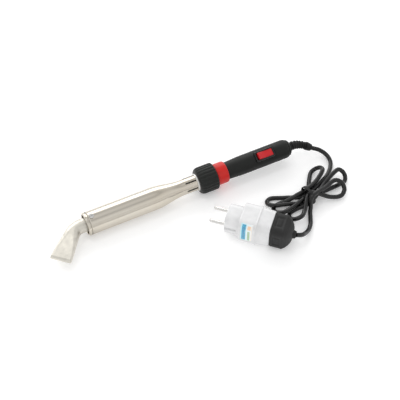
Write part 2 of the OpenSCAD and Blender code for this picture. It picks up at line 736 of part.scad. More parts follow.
module adapter_body() {
    w = adapter_w;
    h = adapter_h;
    t = 2 * adapter_wall;
    end_w = plug_w + 1;
    color([0.93, 0.93, 0.92]) place_plug() difference() {
        union() {
            block_x(front_len + 0.05, ridge_x, w, h, 10);
            block_x(ridge_x - EPS, ridge_x + ridge_len, w + 1.4, h + 1.4, 10.6);
            hull() {
                slice_x(ridge_x + ridge_len - 0.1, w - 1, h - 0.6, 9.5);
                slice_x(plug_x - 0.2, end_w, end_w, 8);
            }
        }
        block_x(front_len + 2.2, ridge_x + 2, w - t, h - t, 8);
        block_x(ridge_x, plug_x + 1, end_w - t, end_w - t, 6.5);
        block_x(front_len - 1, front_len + 3, 29.1, 29.1, 10.05);
        translate([screw_x, 0, -h]) cylinder(d = 2.6, h = h);
    }
}

module adapter_socket() {
    size = plug_w + 1 - 2 * adapter_wall - 0.1;
    color([0.90, 0.90, 0.89]) place_plug() difference() {
        block_x(plug_x - 6, plug_x - 0.1, size, size, 6.4);
        for (s = [-1, 1]) translate([0, s * pin_pitch / 2, 0]) rod(plug_x - 7, plug_x + 1, plug_pin_d + 0.6);
        translate([screw_x, 0, -adapter_h]) cylinder(d = 2.5, h = adapter_h - 9);
    }
}

module adapter_pins() {
    color([0.78, 0.78, 0.76]) place_plug() for (s = [-1, 1]) translate([0, s * pin_pitch / 2, 0]) {
        turned([[-wall_pin_len, 0], [-wall_pin_len, wall_pin_d / 2 - 1],
            [-wall_pin_len + 1, wall_pin_d / 2], [-0.4, wall_pin_d / 2], [-0.4, pin_root_d / 2],
            [6, pin_root_d / 2], [6, 0]]);
    }
}

contact_x = plug_x - socket_depth - 2;
module adapter_contacts() {
    color([0.80, 0.66, 0.32]) place_plug() for (s = [-1, 1]) translate([0, s * pin_pitch / 2, 0]) {
        rod(6.05, contact_x + 0.1, 3);
        difference() {
            rod(contact_x, plug_x - 6.2, 7);
            rod(contact_x + 1.5, plug_x, plug_pin_d + 2 * RUN);
        }
    }
}

// A thin sticker on the side that faces the viewer, following the rounded body
module adapter_label() {
    color([0.15, 0.60, 0.75]) place_plug() intersection() {
        difference() {
            block_x(front_len + 3.5, ridge_x - 2, adapter_w + 0.3, adapter_h + 0.3, 10.15);
            block_x(front_len, ridge_x, adapter_w + 0.02, adapter_h + 0.02, 10.01);
        }
        translate([0, -adapter_w, -8]) cube([ridge_x, adapter_w - 12, adapter_h / 2 + 6]);
    }
}

module adapter_screw() {
    color([0.70, 0.70, 0.68]) place_plug()
        translate([screw_x, 0, -plug_w / 2 - 0.2]) difference() {
            cylinder(d = 2.4, h = 6);
            translate([-2, -0.3, -1]) cube([4, 0.6, 1.6]);
        }
}

soldering_tip();
tip_clamp_screw();
front_ring();
barrel();
tip_sleeve();
mica_inner_wrap();
heater_winding();
mica_outer_wrap();
heater_front_washer();
heater_rear_washer();
heater_lead_wires();
ceramic_lead_tubes();
neck_ferrule();
collar();
insulating_disc();
red_ring();
handle();
terminal_block();
terminal_inserts();
terminal_screws();
switch_housing();
switch_rocker();
switch_plunger();
switch_contact_bar();
switch_terminals();
neutral_wire();
live_wire();
switched_live_wire();
earth_wire();
rear_cap();
cap_screw();
cord_clamp();
clamp_screws();
cord_sheath_end();
strain_relief();
cord_lead();
cord_hank();
cord_tail();
cord_tie();
plug_body();
plug_pins();
adapter_front();
adapter_body();
adapter_socket();
adapter_pins();
adapter_contacts();
adapter_label();
adapter_screw();
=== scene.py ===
"""Looks of a heavy mains soldering iron with a bent chisel tip, its bundled cord, plug and adapter."""

import json
import math

import bpy
import numpy as np
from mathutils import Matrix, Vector


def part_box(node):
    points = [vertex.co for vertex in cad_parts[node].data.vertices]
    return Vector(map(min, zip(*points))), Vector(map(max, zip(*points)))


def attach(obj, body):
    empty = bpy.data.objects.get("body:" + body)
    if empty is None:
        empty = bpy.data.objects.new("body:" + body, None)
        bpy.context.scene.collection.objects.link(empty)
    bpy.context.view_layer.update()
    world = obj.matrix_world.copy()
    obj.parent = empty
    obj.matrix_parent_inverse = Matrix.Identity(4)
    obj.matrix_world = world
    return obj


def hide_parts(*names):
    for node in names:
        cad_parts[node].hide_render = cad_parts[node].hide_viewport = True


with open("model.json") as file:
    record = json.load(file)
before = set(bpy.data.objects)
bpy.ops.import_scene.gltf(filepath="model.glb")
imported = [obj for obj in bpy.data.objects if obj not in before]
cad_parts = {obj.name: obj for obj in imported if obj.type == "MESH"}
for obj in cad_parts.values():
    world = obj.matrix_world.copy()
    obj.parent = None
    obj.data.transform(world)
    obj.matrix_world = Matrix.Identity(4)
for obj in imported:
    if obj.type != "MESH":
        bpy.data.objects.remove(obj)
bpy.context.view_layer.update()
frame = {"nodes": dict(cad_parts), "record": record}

bl_info = {
    "name": "Bent-tip soldering iron",
    "version": (1, 0, 0),
    "blender": (4, 5, 0),
    "location": "3D View > Sidebar > Soldering iron",
    "description": "Makes the visible pieces and finishes of a soldering iron around its CAD frame",
    "category": "Object",
}

MM = 0.001
PITCH_OF_FOLD_POINTS = 0.0027


# ---------------------------------------------------------------- places

class Place:
    """A local frame: an origin and three unit axes. put() carries local points into the row frame."""

    def __init__(self, origin, x, y, z):
        self.origin = np.asarray(origin, float)
        self.axes = np.array([x, y, z], float)

    def put(self, local):
        """Row-frame points: origin plus each local coordinate times its axis."""
        return self.origin + np.asarray(local, float) @ self.axes

    def take(self, points):
        """Local coordinates of row-frame points: their offsets from the origin along each axis."""
        return (np.asarray(points, float) - self.origin) @ self.axes.T


def node_points(name):
    """All vertices of a CAD node, as an array of rows x, y, z."""
    mesh = frame["nodes"][name].data
    flat = np.empty(len(mesh.vertices) * 3, np.float32)
    mesh.vertices.foreach_get("co", flat)
    return flat.reshape(-1, 3).astype(float)


def middle(name):
    """Centre of a CAD node's box."""
    low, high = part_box(name)
    return (np.array(low) + np.array(high)) / 2


def iron_place():
    """The iron's own frame: X runs through the middles of the front ring and the red ring."""
    front, back = middle("front_ring"), middle("red_ring")
    x = (back - front) / np.linalg.norm(back - front)
    y = np.array([0.0, 1.0, 0.0])
    z = np.cross(x, y)
    place = Place(front, x, y, z)
    place.origin = place.put([place.take(node_points("front_ring"))[:, 0].min(), 0, 0])
    return place


def plug_place():
    """The plug's frame: X runs from the wall pins' root towards the cord."""
    points = node_points("adapter_pins")
    x = np.array([math.cos(PLUG_TURN), math.sin(PLUG_TURN), 0])
    y = np.array([-x[1], x[0], 0])
    place = Place(middle("adapter_pins"), x, y, [0, 0, 1])
    free_end = place.take(points)[:, 0].min()
    place.origin = place.put([free_end + WALL_PIN_LENGTH, 0, 0])
    return place


PLUG_TURN = math.radians(-43)
SWITCH_TURN = math.radians(24)
ROCKER_REST = math.radians(7)
WALL_PIN_LENGTH = 19 * MM
PIN_PITCH = 19 * MM
IRON = iron_place()
PLUG = plug_place()


def span(name, place=IRON):
    """First and last station of a CAD node along a place's X axis, and its largest radius about it."""
    local = place.take(node_points(name))
    return local[:, 0].min(), local[:, 0].max(), np.hypot(local[:, 1], local[:, 2]).max()


def switch_place():
    """The switch's frame: the iron's frame at the middle of the switch, turned about its X axis."""
    x0, x1, _ = span("switch_housing")
    c, s = math.cos(SWITCH_TURN), math.sin(SWITCH_TURN)
    y, z = IRON.axes[1], IRON.axes[2]
    return Place(IRON.put([(x0 + x1) / 2, 0, 0]), IRON.axes[0], c * y + s * z, -s * y + c * z)


SWITCH = switch_place()
HANDLE_RADIUS = span("handle")[2]
PIVOT_HEIGHT = 6.4 * MM


def rocker_place():
    """The rocker's frame: the switch's frame tipped about the pivot to its rest position."""
    c, s = math.cos(ROCKER_REST), math.sin(ROCKER_REST)
    x, y, z = SWITCH.axes
    place = Place(SWITCH.put([0, 0, PIVOT_HEIGHT]), c * x - s * z, y, s * x + c * z)
    place.origin = place.put([0, 0, -PIVOT_HEIGHT])
    return place


ROCKER = rocker_place()


# ---------------------------------------------------------------- surfaces

def ease(t):
    """Smooth step: 0 below 0, 1 above 1, and 3t^2 - 2t^3 between."""
    t = np.clip(t, 0, 1)
    return t * t * (3 - 2 * t)


def surface(name, rows, wrap=True, cap=True, loop=False, hole=None, smooth=35):
    """Mesh over a grid of points, rows x columns x 3. wrap joins the last column to the first,
    loop joins the last row to the first, cap closes both end rows with a fan about their middle,
    hole marks the quads that are left out. Faces are turned outwards by the sign of the volume."""
    rows = np.asarray(rows, float)
    if loop:
        rows = np.concatenate([rows, rows[:1]])
    count, width = rows.shape[:2]
    index = np.arange(count * width).reshape(count, width)
    if loop:
        index[-1] = index[0]
    if wrap:
        right = np.roll(index, -1, axis=1)
        left = index
    else:
        right, left = index[:, 1:], index[:, :-1]
    quads = np.stack([left[:-1], right[:-1], right[1:], left[1:]], -1)
    across = np.arange(quads.shape[1]) / quads.shape[1]
    step = 1 / quads.shape[1]
    along = np.arange(count) / (count - 1)
    grid_u, grid_v = np.meshgrid(across, along[:-1])
    uv = np.stack([
        np.stack([grid_u, grid_v], -1), np.stack([grid_u + step, grid_v], -1),
        np.stack([grid_u + step, grid_v + along[1]], -1), np.stack([grid_u, grid_v + along[1]], -1),
    ], 2)
    if hole is not None:
        quads, uv = quads[~hole], uv[~hole]
    quads, uv = quads.reshape(-1, 4), uv.reshape(-1, 2)
    points = rows.reshape(-1, 3)
    if loop:
        points = points[:-width]
    faces = quads.tolist()
    if cap and not loop:
        first, last = len(points), len(points) + 1
        points = np.concatenate([points, rows[:1].mean(1), rows[-1:].mean(1)])
        fans = np.concatenate([
            np.stack([right[0], left[0], np.full(len(left[0]), first)], -1),
            np.stack([left[-1], right[-1], np.full(len(left[0]), last)], -1)])
        faces += fans.tolist()
        mids = np.stack([across + step, across, across + step / 2], -1)
        ends = np.repeat([[0.0] * 3, [1.0] * 3], len(across), 0)
        uv = np.concatenate([uv, np.stack([np.tile(mids, (2, 1)), ends], -1).reshape(-1, 2)])
    centre = points.mean(0)
    flat = quads.reshape(-1, 4)
    a, b, c, d = (points[flat[:, k]] - centre for k in range(4))
    volume = (np.cross(a, b) * c).sum() + (np.cross(a, c) * d).sum()
    mesh = bpy.data.meshes.new(name)
    mesh.from_pydata(points.tolist(), [], faces)
    layer = mesh.uv_layers.new(name="UVMap")
    layer.data.foreach_set("uv", uv.astype(np.float32).ravel())
    if volume < 0:
        mesh.flip_normals()
    mesh.shade_smooth()
    mesh.set_sharp_from_angle(angle=math.radians(smooth))
    piece = bpy.data.objects.new(name, mesh)
    bpy.context.scene.collection.objects.link(piece)
    return piece


def rounded(outline, radius, steps=4, closed=False):
    """Outline with each corner cut to a small arc: a quadratic curve from a point before the corner
    to a point after it, each at most the radius, or 45 % of the side, away from the corner."""
    outline = np.asarray(outline, float)
    before, after = np.roll(outline, 1, 0), np.roll(outline, -1, 0)
    back, on = before - outline, after - outline
    back_len = np.linalg.norm(back, axis=1, keepdims=True)
    on_len = np.linalg.norm(on, axis=1, keepdims=True)
    cut_back = np.minimum(radius, 0.45 * back_len)
    cut_on = np.minimum(radius, 0.45 * on_len)
    start = outline + back / np.maximum(back_len, 1e-9) * cut_back
    end = outline + on / np.maximum(on_len, 1e-9) * cut_on
    t = np.linspace(0, 1, steps + 1)[None, :, None]
    arcs = (1 - t) ** 2 * start[:, None] + 2 * t * (1 - t) * outline[:, None] + t * t * end[:, None]
    if closed:
        return arcs.reshape(-1, 2)
    return np.concatenate([outline[:1], arcs[1:-1].reshape(-1, 2), outline[-1:]])


def refine(outline, step):
    """Outline with points added along its sides, so that none is longer than step."""
    outline = np.asarray(outline, float)
    length = np.linalg.norm(np.diff(outline, axis=0), axis=1)
    counts = np.maximum(1, np.ceil(length / step)).astype(int)
    where = np.concatenate([[0], np.cumsum(np.repeat(1 / counts, counts))])
    keys = np.arange(len(outline))
    return np.stack([np.interp(where, keys, outline[:, k]) for k in range(outline.shape[1])], 1)


def turn_rows(stations, radii, angles, place=IRON, middle_y=0.0):
    """Surface of revolution about a place's X axis: each point is its station along X, and its radius
    times (-sin, cos) of its angle, which runs from +Z towards -Y. Radii may differ by angle."""
    stations = np.asarray(stations, float)
    radii = np.asarray(radii, float)
    if radii.ndim == 1:
        radii = np.repeat(radii[:, None], len(angles), 1)
    if stations.ndim == 1:
        stations = np.repeat(stations[:, None], len(angles), 1)
    local = np.stack([stations, middle_y - radii * np.sin(angles), radii * np.cos(angles)], -1)
    return place.put(local)


def circle_angles(count):
    """Evenly spaced angles round a circle."""
    return np.arange(count) * 2 * math.pi / count


def lathe(name, outline, corner, steps=4, sides=128):
    """A turned ring about the iron's axis from its closed outline of (station, radius) pairs, with a small
    arc at each corner."""
    shape = rounded(outline, corner, steps, closed=True)
    rows = turn_rows(shape[:, 0], shape[:, 1], circle_angles(sides))
    return surface(name, rows, cap=False, loop=True)


def box_loop(half_y, half_z, corner, side_points=10, arc_points=8):
    """Points round a rounded rectangle. The centre of the corner arc moves along a side while the
    direction stays, and stays at a corner while the direction turns through a quarter."""
    cy, cz = half_y - corner, half_z - corner
    key, centre_y, centre_z, turn = [0], [cy], [-cz], [0]
    for quarter, (sy, sz) in enumerate([(1, 1), (-1, 1), (-1, -1), (1, -1)]):
        for points, degrees in ((side_points, 0), (arc_points, 90)):
            key.append(key[-1] + points)
            centre_y.append(sy * cy)
            centre_z.append(sz * cz)
            turn.append(90 * quarter + degrees)
    where = np.arange(key[-1])
    angle = np.radians(np.interp(where, key, turn))
    y = np.interp(where, key, centre_y) + corner * np.cos(angle)
    z = np.interp(where, key, centre_z) + corner * np.sin(angle)
    return np.stack([y, z], -1), np.stack([np.cos(angle), np.sin(angle)], -1)


def box_rings(sizes, side_points=10, arc_points=8):
    """Rounded rectangles, each of a (half width, half height, corner), and the directions they share."""
    loops = [box_loop(*size, side_points, arc_points) for size in sizes]
    return np.array([loop[0] for loop in loops]), loops[0][1]


def standing(stations, rings):
    """Points of rings that stand across X, each ring at its own station."""
    x = np.repeat(np.reshape(stations, (-1, 1)), rings.shape[1], 1)
    return np.concatenate([x[..., None], rings], -1)


def smooth_path(points, step):
    """Catmull-Rom curve through the points, cut into pieces of equal length near step."""
    p = np.asarray(points, float)
    p = np.concatenate([2 * p[:1] - p[1:2], p, 2 * p[-1:] - p[-2:-1]])
    t = np.linspace(0, 1, 24, endpoint=False)[None, :, None]
    a, b, c, d = (p[k:len(p) - 3 + k, None] for k in range(4))
    curve = 0.5 * (2 * b + (c - a) * t + (2 * a - 5 * b + 4 * c - d) * t ** 2
                   + (3 * b - a - 3 * c + d) * t ** 3)
    curve = np.concatenate([curve.reshape(-1, 3), p[-2:-1]])
    length = np.concatenate([[0], np.cumsum(np.linalg.norm(np.diff(curve, axis=0), axis=1))])
    count = max(2, int(round(length[-1] / step)) + 1)
    where = np.linspace(0, length[-1], count)
    return np.stack([np.interp(where, length, curve[:, k]) for k in range(3)], 1)


def tube_rows(path, radii, sides):
    """A profile carried along a path: round each point, the level side direction and the one square to
    it and to the path, times the radius there. Radii may differ round the tube."""
    tangent = np.gradient(path, axis=0)
    tangent /= np.linalg.norm(tangent, axis=1, keepdims=True)
    across = np.cross(tangent, [0, 0, 1.0])
    across /= np.linalg.norm(across, axis=1, keepdims=True)
    up = np.cross(across, tangent)
    angles = circle_angles(sides)
    radii = np.asarray(radii, float)
    if radii.ndim == 1:
        radii = np.repeat(radii[:, None], sides, 1)
    ring = np.cos(angles)[None, :, None] * across[:, None] + np.sin(angles)[None, :, None] * up[:, None]
    return path[:, None] + radii[..., None] * ring


def mount_piece(piece, body, slot, material, *nodes):
    """Gives a finished piece its material and its body, and hides the CAD nodes that it stands for. The slot is not
    used.
    """
    piece.data.materials.append(material)
    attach(piece, body)
    if nodes:
        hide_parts(*nodes)
    return piece


def thicken(piece, depth):
    """Gives an open skin its wall, inwards from the visible face."""
    wall = piece.modifiers.new("Wall", "SOLIDIFY")
    wall.thickness = depth
    wall.offset = -1
    wall.use_even_offset = True
    return piece


# ---------------------------------------------------------------- finishes

def feed(tree, node, inputs):
    """Gives each input of a node its number, its colour, or the output that it follows."""
    for name, value in inputs.items():
        socket = node.inputs[name]
        if isinstance(value, bpy.types.NodeSocket):
            tree.links.new(value, socket)
        else:
            socket.default_value = (*value, 1) if socket.type == "RGBA" else value
    return node


def add_node(tree, kind, inputs):
    """A new shader node with its inputs fed."""
    return feed(tree, tree.nodes.new("ShaderNode" + kind), inputs)


class Finish:
    """A Principled surface and the patterns that drive it, on Object coordinates or the piece's UV map."""

    def __init__(self, name, color, rough, metal=0.0, **sockets):
        self.material = bpy.data.materials.new(name)
        self.material.use_nodes = True
        self.tree = self.material.node_tree
        self.shader = feed(self.tree, self.tree.nodes["Principled BSDF"], {
            "Base Color": color, "Roughness": rough, "Metallic": metal,
            **{socket.replace("_", " "): value for socket, value in sockets.items()}})
        self.coords = self.tree.nodes.new("ShaderNodeTexCoord").outputs
        self.normal = None

    def pattern(self, kind, output, stretch, space, inputs):
        """Output of a texture node on stretched coordinates."""
        place = add_node(self.tree, "Mapping", {"Vector": self.coords[space], "Scale": stretch})
        return add_node(self.tree, kind, {"Vector": place.outputs["Vector"], **inputs}).outputs[output]

    def noise(self, scale, detail=3, stretch=(1, 1, 1), space="Object"):
        """Cloudy noise, from 0 to 1, with its scale in features per metre."""
        return self.pattern("TexNoise", "Fac", stretch, space, {"Scale": scale, "Detail": detail, "Roughness": 0.55})

    def cells(self, scale, stretch=(1, 1, 1)):
        """Distance to the nearest of many scattered points."""
        return self.pattern("TexVoronoi", "Distance", stretch, "Object", {"Scale": scale})

    def spread(self, value, low, high, to_low=0, to_high=1):
        """Stretches the range low to high over to_low to to_high, and clamps it."""
        return add_node(self.tree, "MapRange", {
            "Value": value, "From Min": low, "From Max": high, "To Min": to_low, "To Max": to_high}).outputs["Result"]

    def join(self, a, b, operation="ADD"):
        """Two values joined by a Math operation. b may be a number."""
        node = add_node(self.tree, "Math", {0: a, 1: b})
        node.operation = operation
        return node.outputs[0]

    def blend(self, share, first, second):
        """Colour between two, by a share. Each may be a colour or an output."""
        node = self.tree.nodes.new("ShaderNodeMix")
        node.data_type = "RGBA"
        return feed(self.tree, node, {0: share, 6: first, 7: second}).outputs[2]

    def tones(self, value, low, high, first, second):
        """Colour that goes from first to second as the value goes from low to high."""
        return self.blend(self.spread(value, low, high), first, second)

    def color(self, output):
        """Drives the base colour."""
        feed(self.tree, self.shader, {"Base Color": output})

    def rough(self, value, low, high):
        """Drives the roughness, from low where value is 0 to high where it is 1."""
        feed(self.tree, self.shader, {"Roughness": self.spread(value, 0, 1, low, high)})

    def worn(self, slow, top, share, fine, low, high):
        """Drives the roughness between low and high: slow patches, full at top, have the share, and fine
        lines have the rest."""
        patches = self.spread(slow, 0.3, top, 0, share)
        self.rough(self.join(patches, self.spread(fine, 0.3, 0.7, 0, 1 - share)), low, high)

    def bump(self, value, depth, strength):
        """Adds a relief of that depth in metres, on top of any before it."""
        under = {"Normal": self.normal} if self.normal else {}
        bump = add_node(self.tree, "Bump", {"Height": value, "Distance": depth, "Strength": strength, **under})
        self.normal = bump.outputs["Normal"]
        feed(self.tree, self.shader, {"Normal": self.normal})


def shade(color, factor):
    """A colour times a factor."""
    return tuple(min(1.0, c * factor) for c in color[:3])


def nickel_finish(name, color, smear=1.0):
    """Polished nickel plate: fine polishing lines along the tube, soft handling smears, a warm heat tint."""
    f = Finish(name, color, 0.16, 1.0)
    lines = f.noise(900, 2, (0.04, 1, 1))
    smears = f.noise(55, 4, (0.5, 1, 1))
    warm = (color[0] * 0.97, color[1] * 0.93, color[2] * 0.86)
    plate = f.tones(f.noise(16, 3, (0.6, 1, 1)), 0.35, 0.7, color, warm)
    f.color(f.tones(smears, 0.55, 0.8, plate, shade(color, 0.86)))
    f.worn(smears, 0.75, 0.7, lines, 0.08, 0.2 + 0.06 * smear)
    f.bump(lines, 0.00002, 0.35)
    f.bump(f.noise(40, 2, (0.3, 1, 1)), 0.00035, 0.25)
    return f.material


def tinned_finish(color):
    """Tinned copper: a frosty satin plate with shallow dimples, grain and a few dull patches."""
    f = Finish("tinned_tip", color, 0.4, 0.85)
    patches = f.noise(120, 4)
    grain = f.noise(1400)
    f.color(f.tones(patches, 0.4, 0.75, color, shade(color, 0.80)))
    f.worn(patches, 0.8, 0.7, grain, 0.28, 0.52)
    f.bump(f.noise(150), 0.0004, 0.35)
    f.bump(f.cells(420), 0.00008, 0.25)
    f.bump(grain, 0.00003, 0.4)
    return f.material


def moulded_finish(name, color, low, high, grain=2600, depth=0.00004, coat=0.0, dust=1.25, sheen=0.22):
    """Moulded plastic or rubber: a fine even grain, slow changes of gloss, and a little dust in the hollows."""
    f = Finish(name, color, (low + high) / 2, Coat_Weight=coat, Coat_Roughness=0.2, Specular_IOR_Level=sheen)
    slow, fine = f.noise(70), f.noise(grain, 2)
    specks = f.spread(f.noise(700, 2), 0.66, 0.78)
    tone = f.tones(slow, 0.3, 0.75, shade(color, 0.85), shade(color, dust))
    f.color(f.blend(f.join(specks, 0.25, "MULTIPLY"), tone, shade(color, dust * 1.6)))
    f.worn(slow, 0.7, 0.7, fine, low, high)
    f.bump(fine, depth, 0.5)
    return f.material


def gloss_finish(name, color, rough, coat, glow=0.0):
    """Glossy coloured plastic: a clear coat, faint moulding flow, and a slightly deeper tone in patches."""
    f = Finish(name, color, rough, Coat_Weight=coat, Coat_Roughness=0.08, Subsurface_Weight=glow,
               Subsurface_Radius=(0.004, 0.001, 0.0006), Specular_IOR_Level=0.3)
    flow, fine = f.noise(60, 3, (0.5, 1, 1)), f.noise(1800, 2)
    f.color(f.tones(flow, 0.3, 0.7, color, shade(color, 0.82)))
    f.worn(flow, 0.7, 0.6, fine, rough * 0.8, rough * 1.3)
    f.bump(fine, 0.00002, 0.3)
    return f.material


def metal_finish(name, color, low, high, stain):
    """Plain metal: fine turned lines, and duller stained patches."""
    f = Finish(name, color, (low + high) / 2, 1.0)
    patches, lines = f.noise(90, 4), f.noise(1600, 2)
    f.color(f.tones(patches, 0.4, 0.75, color, shade(color, stain)))
    f.worn(patches, 0.75, 0.6, lines, low, high)
    f.bump(lines, 0.00003, 0.35)
    return f.material


def mineral_finish(name, color, speck, rough=0.7):
    """Fired or pressed mineral: chalky grain with scattered darker specks."""
    f = Finish(name, color, rough)
    grains = f.noise(900, 4)
    base = f.tones(f.noise(80), 0.35, 0.7, color, shade(color, 0.82))
    f.color(f.tones(grains, 0.6, 0.75, base, speck))
    f.rough(grains, rough * 0.85, min(1.0, rough * 1.15))
    f.bump(grains, 0.00008, 0.4)
    return f.material


def mica_finish(color):
    """Mica wrap: thin glossy flakes, lighter and darker, with straight torn edges."""
    f = Finish("mica_wrap", color, 0.35, Coat_Weight=0.4, Coat_Roughness=0.2)
    flakes = f.cells(260, (0.6, 1, 1))
    f.color(f.tones(flakes, 0.1, 0.6, shade(color, 1.1), shade(color, 0.7)))
    f.rough(f.noise(150, 4), 0.2, 0.5)
    f.bump(flakes, 0.0001, 0.4)
    return f.material


def cord_finish(color):
    """Black cord sheath: satin rubber with faint lengthwise drawing lines on the cord's UV map, and wear."""
    f = Finish("cord_sheath", color, 0.26, Specular_IOR_Level=0.42)
    lines = f.noise(1, 3, (60, 4, 1), "UV")
    wear = f.noise(90)
    f.color(f.tones(wear, 0.35, 0.75, shade(color, 0.6), shade(color, 1.2)))
    f.worn(wear, 0.7, 0.6, lines, 0.17, 0.32)
    f.bump(lines, 0.00006, 0.4)
    f.bump(f.noise(2400, 2), 0.00002, 0.4)
    return f.material


def wire_finish(name, color):
    """Core insulation: glossy thin plastic with a faint wave."""
    f = Finish(name, color, 0.35)
    wave = f.noise(300, 2)
    f.color(f.tones(wave, 0.3, 0.7, color, shade(color, 0.75)))
    f.rough(wave, 0.25, 0.45)
    f.bump(wave, 0.00005, 0.3)
    return f.material


def label_finish(band_color):
    """Printed sticker: upright colour bars on white by the sticker's own UV map, with ink grain and no lettering."""
    f = Finish("label_print", (0.9, 0.92, 0.92), 0.35, Coat_Weight=0.5, Coat_Roughness=0.12)
    split = add_node(f.tree, "SeparateXYZ", {"Vector": f.coords["UV"]}).outputs
    along, up = split["Y"], split["X"]
    soft = 0.012

    def inside(value, low, high):
        """1 between low and high and 0 outside, with soft edges."""
        return f.join(f.spread(value, low - soft, low + soft), f.spread(value, high + soft, high - soft), "MULTIPLY")

    ink = f.blend(f.spread(along, 0, 1), (0.55, 0.86, 0.92), (0.95, 0.95, 0.94))
    for u0, u1, v0, v1, color in (
            (0.10, 0.44, 0.04, 0.96, band_color), (0.22, 0.32, 0.16, 0.84, (0.02, 0.22, 0.42)),
            (0.60, 0.80, 0.04, 0.68, (0.35, 0.52, 0.30)), (0.56, 0.84, 0.76, 0.92, (0.95, 0.62, 0.40)),
            (0.90, 0.94, 0.04, 0.92, (0.95, 0.72, 0.55))):
        ink = f.blend(f.join(inside(along, u0, u1), inside(up, v0, v1), "MULTIPLY"), ink, color)
    grain = f.noise(1500, 2)
    f.color(f.tones(grain, 0.5, 0.9, ink, (0.8, 0.84, 0.86)))
    f.rough(grain, 0.25, 0.45)
    f.bump(grain, 0.00001, 0.4)
    return f.material


# maker and its values for each slot that inner CAD pieces take their finish from
INNER_FINISHES = {
    "dark_steel": (metal_finish, "oxidised_steel", (0.30, 0.28, 0.27), 0.35, 0.6, 0.6),
    "steel_screw": (metal_finish, "screw_steel", (0.60, 0.60, 0.59), 0.2, 0.4, 0.8),
    "mica": (mica_finish, (0.62, 0.55, 0.40)),
    "nichrome": (metal_finish, "resistance_wire", (0.42, 0.38, 0.36), 0.3, 0.6, 0.6),
    "ceramic": (mineral_finish, "fired_ceramic", (0.46, 0.43, 0.38), (0.22, 0.20, 0.18)),
    "phenolic": (mineral_finish, "pressed_board", (0.38, 0.24, 0.12), (0.22, 0.13, 0.06), 0.6),
    "brass": (metal_finish, "brass", (0.78, 0.58, 0.26), 0.18, 0.38, 0.75),
    "blue_wire": (wire_finish, "blue_core", (0.04, 0.12, 0.5)),
    "brown_wire": (wire_finish, "brown_core", (0.17, 0.075, 0.03)),
    "green_wire": (wire_finish, "green_core", (0.12, 0.34, 0.05)),
}


# ---------------------------------------------------------------- cord route

def fold_points(middle_point, fold, level):
    """One fold of the bundle: out from the middle, round a half circle at its end, and back.
    A fold is (direction, reach, half width, tilt, shift of its pass through the middle)."""
    direction, reach, width, tilt, shift = fold
    out = np.array([math.cos(math.radians(direction)), math.sin(math.radians(direction))])
    side = np.array([-out[1], out[0]]) * math.copysign(1, width)
    w = abs(width)
    along = np.array([0.5 * reach, reach - w, reach - 0.165 * w, reach, reach - 0.165 * w, reach - w, 0.5 * reach])
    across = np.array([-0.62, -1, -0.55, 0, 0.55, 1, 0.62]) * w
    start = np.array([[middle_point[0] + 0.35 * shift, middle_point[1] + shift, level]])
    flat = middle_point + along[:, None] * out + across[:, None] * side
    height = 0.7 * level + 1 * MM + tilt * across / w
    return np.concatenate([start, np.column_stack([flat, height])])


def settle(home, step, diameter, rounds=420):
    """Lets the cord sink and push itself apart. Its shape is home plus an offset at each point: each
    round lowers the offsets, smooths them along the cord, moves points that are closer than a
    diameter apart along the line between them, and lifts what is below the floor."""
    count = len(home)
    sink, home_pull, push_gain, least_gap = 0.12 * MM, 0.997, 1.1, 0.3 * MM
    offset = np.zeros_like(home)
    first, second = np.triu_indices(count, int(math.ceil(3.2 * diameter / step)))
    free = np.ones((count, 1))
    free[:3] = 0
    free[-4:] = 0

    def smoothed(passes):
        """Moves each free point a quarter of the way to the middle of its neighbours."""
        for _ in range(passes):
            offset[1:-1] += 0.25 * (offset[:-2] + offset[2:] - 2 * offset[1:-1])
            offset[:] *= free

    for turn in range(rounds):
        if turn % 6 == 0:
            points = home + offset
            near = np.linalg.norm(points[second] - points[first], axis=1) < 1.6 * diameter
            a, b = first[near], second[near]
        offset[:, 2] -= sink * (1 - turn / rounds)
        offset[:, :2] *= home_pull
        smoothed(8)
        for _ in range(2):
            points = home + offset
            apart = points[b] - points[a]
            gap = np.linalg.norm(apart, axis=1)
            close = gap < diameter
            push = (diameter - gap[close])[:, None] * apart[close] / np.maximum(gap[close], least_gap)[:, None] / 2
            total, times = np.zeros_like(home), np.zeros((count, 1))
            np.add.at(total, a[close], -push)
            np.add.at(total, b[close], push)
            np.add.at(times, a[close], 1)
            np.add.at(times, b[close], 1)
            offset += free * push_gain * total / np.maximum(times, 1)
            offset[:, 2] = np.maximum(offset[:, 2], diameter / 2 - home[:, 2])
    smoothed(2)
    points = home + offset
    points[:, 2] = np.maximum(points[:, 2], diameter / 2 - 0.05 * MM)
    return points


BUNDLE_MIDDLE = np.array([149, -58.8]) * MM
# direction, reach, half width, tilt and shift of each fold, in degrees and millimetres
FOLDS = (
    (164, 49, 7.6, 4.5, 2), (44, 46, -7, 5.5, -6), (184, 45, 8, 4, 6),
    (14, 58, 7, 6, 0), (206, 36, 8, 3.5, -5), (0, 44, 8.5, 5, 5),
)


def relief_path():
    """The strain relief's line, from the rear cap's face down towards the floor."""
    start = IRON.put([span("rear_cap")[1], 0, 0])
    return smooth_path(start + MM * np.array([[0, 0, 0], [8, 0, 0], [18, -2, -3], [28, -7, -8]]), 0.4 * MM)


